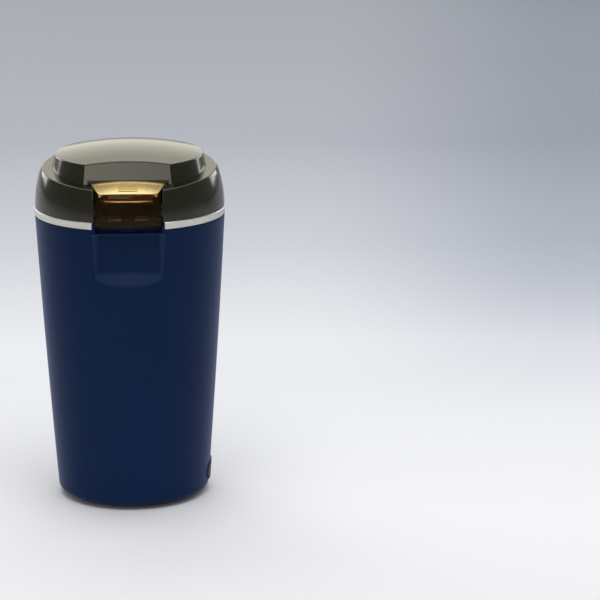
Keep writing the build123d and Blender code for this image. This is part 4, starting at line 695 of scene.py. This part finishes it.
class GRINDER_OT_springs(bpy.types.Operator):
    """Compression springs under the button and the plunger"""
    bl_idname = "grinder.springs"
    bl_label = "Springs"

    def execute(self, context):
        wire = context.scene.grinder_sizes.spring_wire
        bright = brushed("spring_wire", rgb(200, 200, 202), rgb(150, 150, 154), 0.25, "flat", 0.1 * MM)
        travels = {joint["name"]: joint["range_m"][1] for joint in frame["record"]["behaviour"]["joints"]
                   if "range_m" in joint}
        for node, body, joint in (("button_springs", "lid", "button_press"),
                                  ("plunger_spring", "housing", "plunger_slide")):
            for number, (low, high) in enumerate(solids_of(node)):
                spring = wound_spring(f"{node}_{number + 1}", low, high, wire)
                dress(spring, bright)
                mount(spring, body, "spring_steel", node)
                length = high.z - low.z
                (length - travels[joint]) / length
                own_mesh(spring)
        return {"FINISHED"}


def wound_spring(name, low, high, wire, turns=4):
    """A helix of round wire that fills the upright box of a plain spring."""
    clear_selection()
    bpy.ops.mesh.primitive_circle_add(vertices=10, radius=wire, fill_type="NOTHING",
                                      rotation=(math.pi / 2, 0, 0),
                                      location=((high.x - low.x) / 2 - wire, 0, 0))
    spring = settle(named(name))
    modify(spring, "SCREW", angle=2 * math.pi, screw_offset=(high.z - low.z - 2 * wire) / turns,
           iterations=turns, steps=28, render_steps=28, use_normal_calculate=True)
    editing(spring)
    bpy.ops.mesh.select_all(action="SELECT")
    bpy.ops.mesh.fill_holes(sides=10)
    bpy.ops.mesh.normals_make_consistent(inside=False)
    done_editing()
    spring.location = ((low.x + high.x) / 2, (low.y + high.y) / 2, low.z + wire)
    return soften(settle(spring), 60)


class GRINDER_OT_coils(bpy.types.Operator):
    """Field coils wound turn by turn, in place of the frame's plain ones"""
    bl_idname = "grinder.coils"
    bl_label = "Field coils"

    def execute(self, context):
        wire = context.scene.grinder_sizes.wire
        copper = enamelled_wire("field_copper", rgb(196, 108, 60), rgb(128, 60, 32))
        for low, high in solids_of("field_coils"):
            side = "left" if low.x < 0 else "right"
            bundle = wound_coil(f"field_coil_{side}", low, high, wire)
            dress(bundle, copper)
            mount(bundle, "housing", "copper", "field_coils")
        return {"FINISHED"}


def wound_coil(name, low, high, wire):
    """Rounded rectangular turns of wire, laid side by side in layers inside a box that faces X."""
    middle = (low + high) / 2
    turns = int(COIL_WIDTH / (2 * wire))
    layers = int((high.x - low.x) / (2 * wire))
    loops = []
    for turn in range(turns):
        inward = wire + turn * 2 * wire
        bpy.ops.mesh.primitive_plane_add(size=1, rotation=(0, math.pi / 2, 0), location=(0, 0, 0))
        loop = named(name)
        loop.scale = (high.z - low.z - 2 * inward, high.y - low.y - 2 * inward, 1)
        settle(loop)
        editing(loop)
        bpy.ops.mesh.select_all(action="SELECT")
        bpy.ops.mesh.bevel(offset=COIL_CORNER - inward * 0.8, segments=5, affect="VERTICES")
        bpy.ops.mesh.delete(type="ONLY_FACE")
        done_editing()
        bpy.ops.object.convert(target="CURVE")
        loop.data.bevel_depth = wire
        loop.data.bevel_resolution = 1
        bpy.ops.object.convert(target="MESH")
        modify(loop, "ARRAY", count=layers, use_relative_offset=False, use_constant_offset=True,
               constant_offset_displace=(2 * wire, 0, 0))
        loop.location = (low.x + wire, middle.y, middle.z)
        loops.append(settle(loop))
    only(*loops)
    bpy.ops.object.join()
    return soften(named(name), 60)


class GRINDER_OT_screws(bpy.types.Operator):
    """Pan-head screws with a cross recess and a rolled thread, in place of the frame's plain ones"""
    bl_idname = "grinder.screws"
    bl_label = "Screws"

    def execute(self, context):
        sizes = context.scene.grinder_sizes
        zinc = brushed("zinc_plate", rgb(198, 200, 204), rgb(160, 162, 170), 0.3, "flat", 0.25 * MM)
        for node in ("base_screws", "carrier_screws", "motor_screws", "switch_screws"):
            for number, (low, high) in enumerate(solids_of(node)):
                length = high.z - low.z - sizes.screw_head_rise
                screw = threaded_screw(f"{node}_{number + 1}", sizes, length)
                screw.rotation_euler = (math.pi, 0, 0)
                screw.location = ((low.x + high.x) / 2, (low.y + high.y) / 2,
                                  low.z + sizes.screw_head_rise)
                dress(settle(screw), zinc)
                mount(screw, "housing", "zinc_screw", node)
        dress("motor_bolts", zinc)
        return {"FINISHED"}


def threaded_screw(name, sizes, length):
    """One screw with its head up, the underside of the head at the origin."""
    head_r, rise = sizes.screw_head, sizes.screw_head_rise
    crest, pitch = sizes.screw_shank, sizes.screw_pitch
    ridge = 0.34 * pitch
    core = crest - 1.5 * ridge + 0.02 * MM
    clear_selection()
    bpy.ops.mesh.primitive_cylinder_add(vertices=48, radius=head_r, depth=rise,
                                        location=(0, 0, rise / 2))
    head = settle(named(name))
    editing(head)
    pick("FACE", lambda middle, face: middle.z > rise * 0.9)
    bpy.ops.mesh.bevel(offset=rise * 0.6, segments=4, affect="EDGES")
    done_editing()
    for turn in (0, math.pi / 2):
        bpy.ops.mesh.primitive_cone_add(vertices=4, radius1=0.5 * sizes.screw_drive,
                                        radius2=1.5 * sizes.screw_drive, depth=rise * 1.6,
                                        location=(0, 0, rise), rotation=(0, 0, math.pi / 4))
        tool = settle(named("drive_tool"))
        tool.scale = (1, 0.28, 1)
        settle(tool)
        tool.rotation_euler = (0, 0, turn)
        settle(tool)
        modify(head, "BOOLEAN", object=tool, operation="DIFFERENCE", solver="EXACT")
        bpy.data.objects.remove(tool)
    clear_selection()
    bpy.ops.mesh.primitive_cylinder_add(vertices=24, radius=core, depth=length,
                                        location=(0, 0, -length / 2))
    shank = settle(named("shank"))
    editing(shank)
    pick("FACE", lambda middle, face: middle.z < -length * 0.99)
    bpy.ops.mesh.bevel(offset=core * 0.6, segments=2, affect="EDGES")
    done_editing()
    turns = int((length - 0.8 * pitch) / pitch)
    clear_selection()
    bpy.ops.mesh.primitive_circle_add(vertices=3, radius=ridge, fill_type="NOTHING",
                                      rotation=(math.pi / 2, math.pi / 2, 0),
                                      location=(crest - ridge, 0, -length + 0.5 * pitch))
    thread = settle(named("thread"))
    modify(thread, "SCREW", angle=2 * math.pi, screw_offset=pitch, iterations=turns,
           steps=20, render_steps=20, use_normal_calculate=True)
    editing(thread)
    bpy.ops.mesh.select_all(action="SELECT")
    bpy.ops.mesh.fill_holes(sides=3)
    bpy.ops.mesh.normals_make_consistent(inside=False)
    done_editing()
    only(head, shank, thread)
    bpy.ops.object.join()
    return soften(named(name), 40)


class GRINDER_OT_switch(bpy.types.Operator):
    """Microswitch with its lever, actuator, bracket and the plunger above it"""
    bl_idname = "grinder.switch"
    bl_label = "Switch"

    def execute(self, context):
        dress("microswitch", moulded("switch_black", rgb(34, 35, 38), rgb(50, 51, 54), 0.4,
                                     0.25 * MM, 0.01 * MM))
        dress("switch_actuator", moulded("actuator_red", rgb(150, 34, 26), rgb(184, 52, 40), 0.4,
                                         0.25 * MM, 0.01 * MM))
        dress("switch_bracket", moulded("natural_nylon", rgb(206, 202, 188), rgb(222, 219, 208), 0.45,
                                        0.3 * MM, 0.01 * MM, Subsurface_Weight=0.1))
        # painted reflection: the plunger is painted a brighter, bluer navy than the housing, for the blue
        # light reflected into the shaded notch
        dress("switch_plunger", moulded("plunger_navy", rgb(8, 20, 72), rgb(14, 30, 84), 0.6,
                                        0.25 * MM, 0.01 * MM, Specular_IOR_Level=0.1))
        dress("switch_lever", brushed("spring_strip", rgb(198, 198, 198), rgb(158, 158, 162), 0.28,
                                      "flat", 0.1 * MM))
        return {"FINISHED"}


class GRINDER_OT_base(bpy.types.Operator):
    """Black base cover, inner carrier and cord bushing"""
    bl_idname = "grinder.base"
    bl_label = "Base and carrier"

    def execute(self, context):
        black = moulded("textured_black", rgb(22, 22, 24), rgb(38, 38, 40), 0.52, 0.45 * MM, 0.03 * MM)
        for node in ("base_cover", "bowl_carrier"):
            dress(node, black)
        dress("cord_bushing", moulded("soft_black", rgb(16, 16, 17), rgb(28, 28, 30), 0.6,
                                      0.3 * MM, 0.02 * MM))
        return {"FINISHED"}


# ---- stage -------------------------------------------------------------------------------

class GRINDER_OT_stage(bpy.types.Operator):
    """Pale floor that curves up into a backdrop, soft lamps and the camera"""
    bl_idname = "grinder.stage"
    bl_label = "Stage"

    def execute(self, context):
        stage = context.scene.grinder_stage
        backdrop(stage)
        for name, place, target, width, height, colour, power in LAMPS:
            softbox(name, place, target, width, height, colour, getattr(stage, power))
        world = bpy.data.worlds.new("studio")
        world.use_nodes = True
        sky = world.node_tree.nodes["Background"]
        sky.inputs["Color"].default_value = rgb(226, 227, 230)
        sky.inputs["Strength"].default_value = stage.sky_strength
        context.scene.world = world
        bpy.ops.object.camera_add(
            location=(stage.camera_side, -stage.camera_back, stage.camera_up),
            rotation=(math.pi / 2 - stage.camera_pitch, 0, -stage.camera_turn))
        camera = named("camera")
        camera.data.lens = stage.lens
        camera.data.sensor_width = 36.0
        context.scene.camera = camera
        context.scene.view_settings.view_transform = "Standard"
        return {"FINISHED"}


def softbox(name, place, target, width, height, colour, power):
    """Area lamp that faces its target and isn't seen itself."""
    bpy.ops.object.light_add(type="AREA", location=place)
    lamp = named(name)
    lamp.data.shape = "RECTANGLE"
    lamp.data.size = width
    lamp.data.size_y = height
    lamp.data.color = colour
    lamp.data.energy = power
    lamp.visible_camera = False
    lamp.rotation_euler = (Vector(target) - Vector(place)).to_track_quat("-Z", "Y").to_euler()


def backdrop(stage):
    """Floor that bends up into a wall far behind the grinder, greyer towards the back and the right."""
    clear_selection()
    bpy.ops.mesh.primitive_plane_add(size=FLOOR_SIZE, location=(0, 0, -FLOOR_DROP))
    floor = settle(named("floor"))
    editing(floor)
    far_y = FLOOR_SIZE * 0.49
    pick("EDGE", lambda middle, edge: middle.y > far_y)
    bpy.ops.mesh.extrude_region_move(TRANSFORM_OT_translate={"value": (0, 0, WALL_HEIGHT)})
    pick("EDGE", lambda middle, edge: middle.y > far_y and abs(middle.z) < 0.01)
    bpy.ops.mesh.bevel(offset=WALL_BEND, segments=24, affect="EDGES")
    done_editing()
    soften(floor, 60)
    finish = Finish("seamless_paper", Roughness=0.9, Specular_IOR_Level=0.1)
    # painted shade: the floor and wall grey towards the back, and towards the right behind the grinder, for
    # the lamps' light falling off
    back = (finish.axis("Y") + 0.2) / 2.2
    paper = finish.grade(
        back, (0.07, stage.floor_colour), (0.18, stage.near_colour), (0.22, stage.near_colour),
        (0.345, stage.middle_colour), (0.53, stage.far_colour), (0.75, stage.far_colour),
        (0.95, stage.wall_colour))
    aside = finish.smooth(finish.axis("X") / (finish.axis("Y") + stage.camera_back), 0.055, 0.17)
    behind = finish.smooth(back, 0.12, 0.31)
    finish.shade("Base Color", finish.add(
        "ShaderNodeMix", {"data_type": "RGBA", "blend_type": "MULTIPLY"},
        {0: aside * behind, 6: paper, 7: stage.shade_colour}, output=2))
    dress(floor, finish.material)


# ---- panel and registration ----------------------------------------------------------------

PIECES = (GRINDER_OT_housing, GRINDER_OT_ring, GRINDER_OT_lid, GRINDER_OT_button, GRINDER_OT_bowl,
          GRINDER_OT_feet, GRINDER_OT_blade, GRINDER_OT_motor, GRINDER_OT_coils,
          GRINDER_OT_springs, GRINDER_OT_screws, GRINDER_OT_switch, GRINDER_OT_base, GRINDER_OT_stage)
GROUPS = (GrinderLooks, GrinderSizes, GrinderStage)


class GRINDER_PT_panel(bpy.types.Panel):
    """Lists the grinder's pieces, its colours and its sizes"""
    bl_label = "Spice grinder"
    bl_idname = "GRINDER_PT_panel"
    bl_space_type = "VIEW_3D"
    bl_region_type = "UI"
    bl_category = "Grinder"

    def draw(self, context):
        for operator in PIECES:
            self.layout.operator(operator.bl_idname)
        for group in (context.scene.grinder_looks, context.scene.grinder_sizes,
                      context.scene.grinder_stage):
            box = self.layout.box()
            for name in group.__annotations__:
                box.prop(group, name)


def register():
    for cls in (*GROUPS, *PIECES, GRINDER_PT_panel):
        bpy.utils.register_class(cls)
    bpy.types.Scene.grinder_looks = bpy.props.PointerProperty(type=GrinderLooks)
    bpy.types.Scene.grinder_sizes = bpy.props.PointerProperty(type=GrinderSizes)
    bpy.types.Scene.grinder_stage = bpy.props.PointerProperty(type=GrinderStage)


def unregister():
    del bpy.types.Scene.grinder_stage
    del bpy.types.Scene.grinder_sizes
    del bpy.types.Scene.grinder_looks
    for cls in reversed((*GROUPS, *PIECES, GRINDER_PT_panel)):
        bpy.utils.unregister_class(cls)


def main():
    register()
    for operator in PIECES:
        group, name = operator.bl_idname.split(".")
        getattr(getattr(bpy.ops, group), name)()


if __name__ == "__main__":
    main()
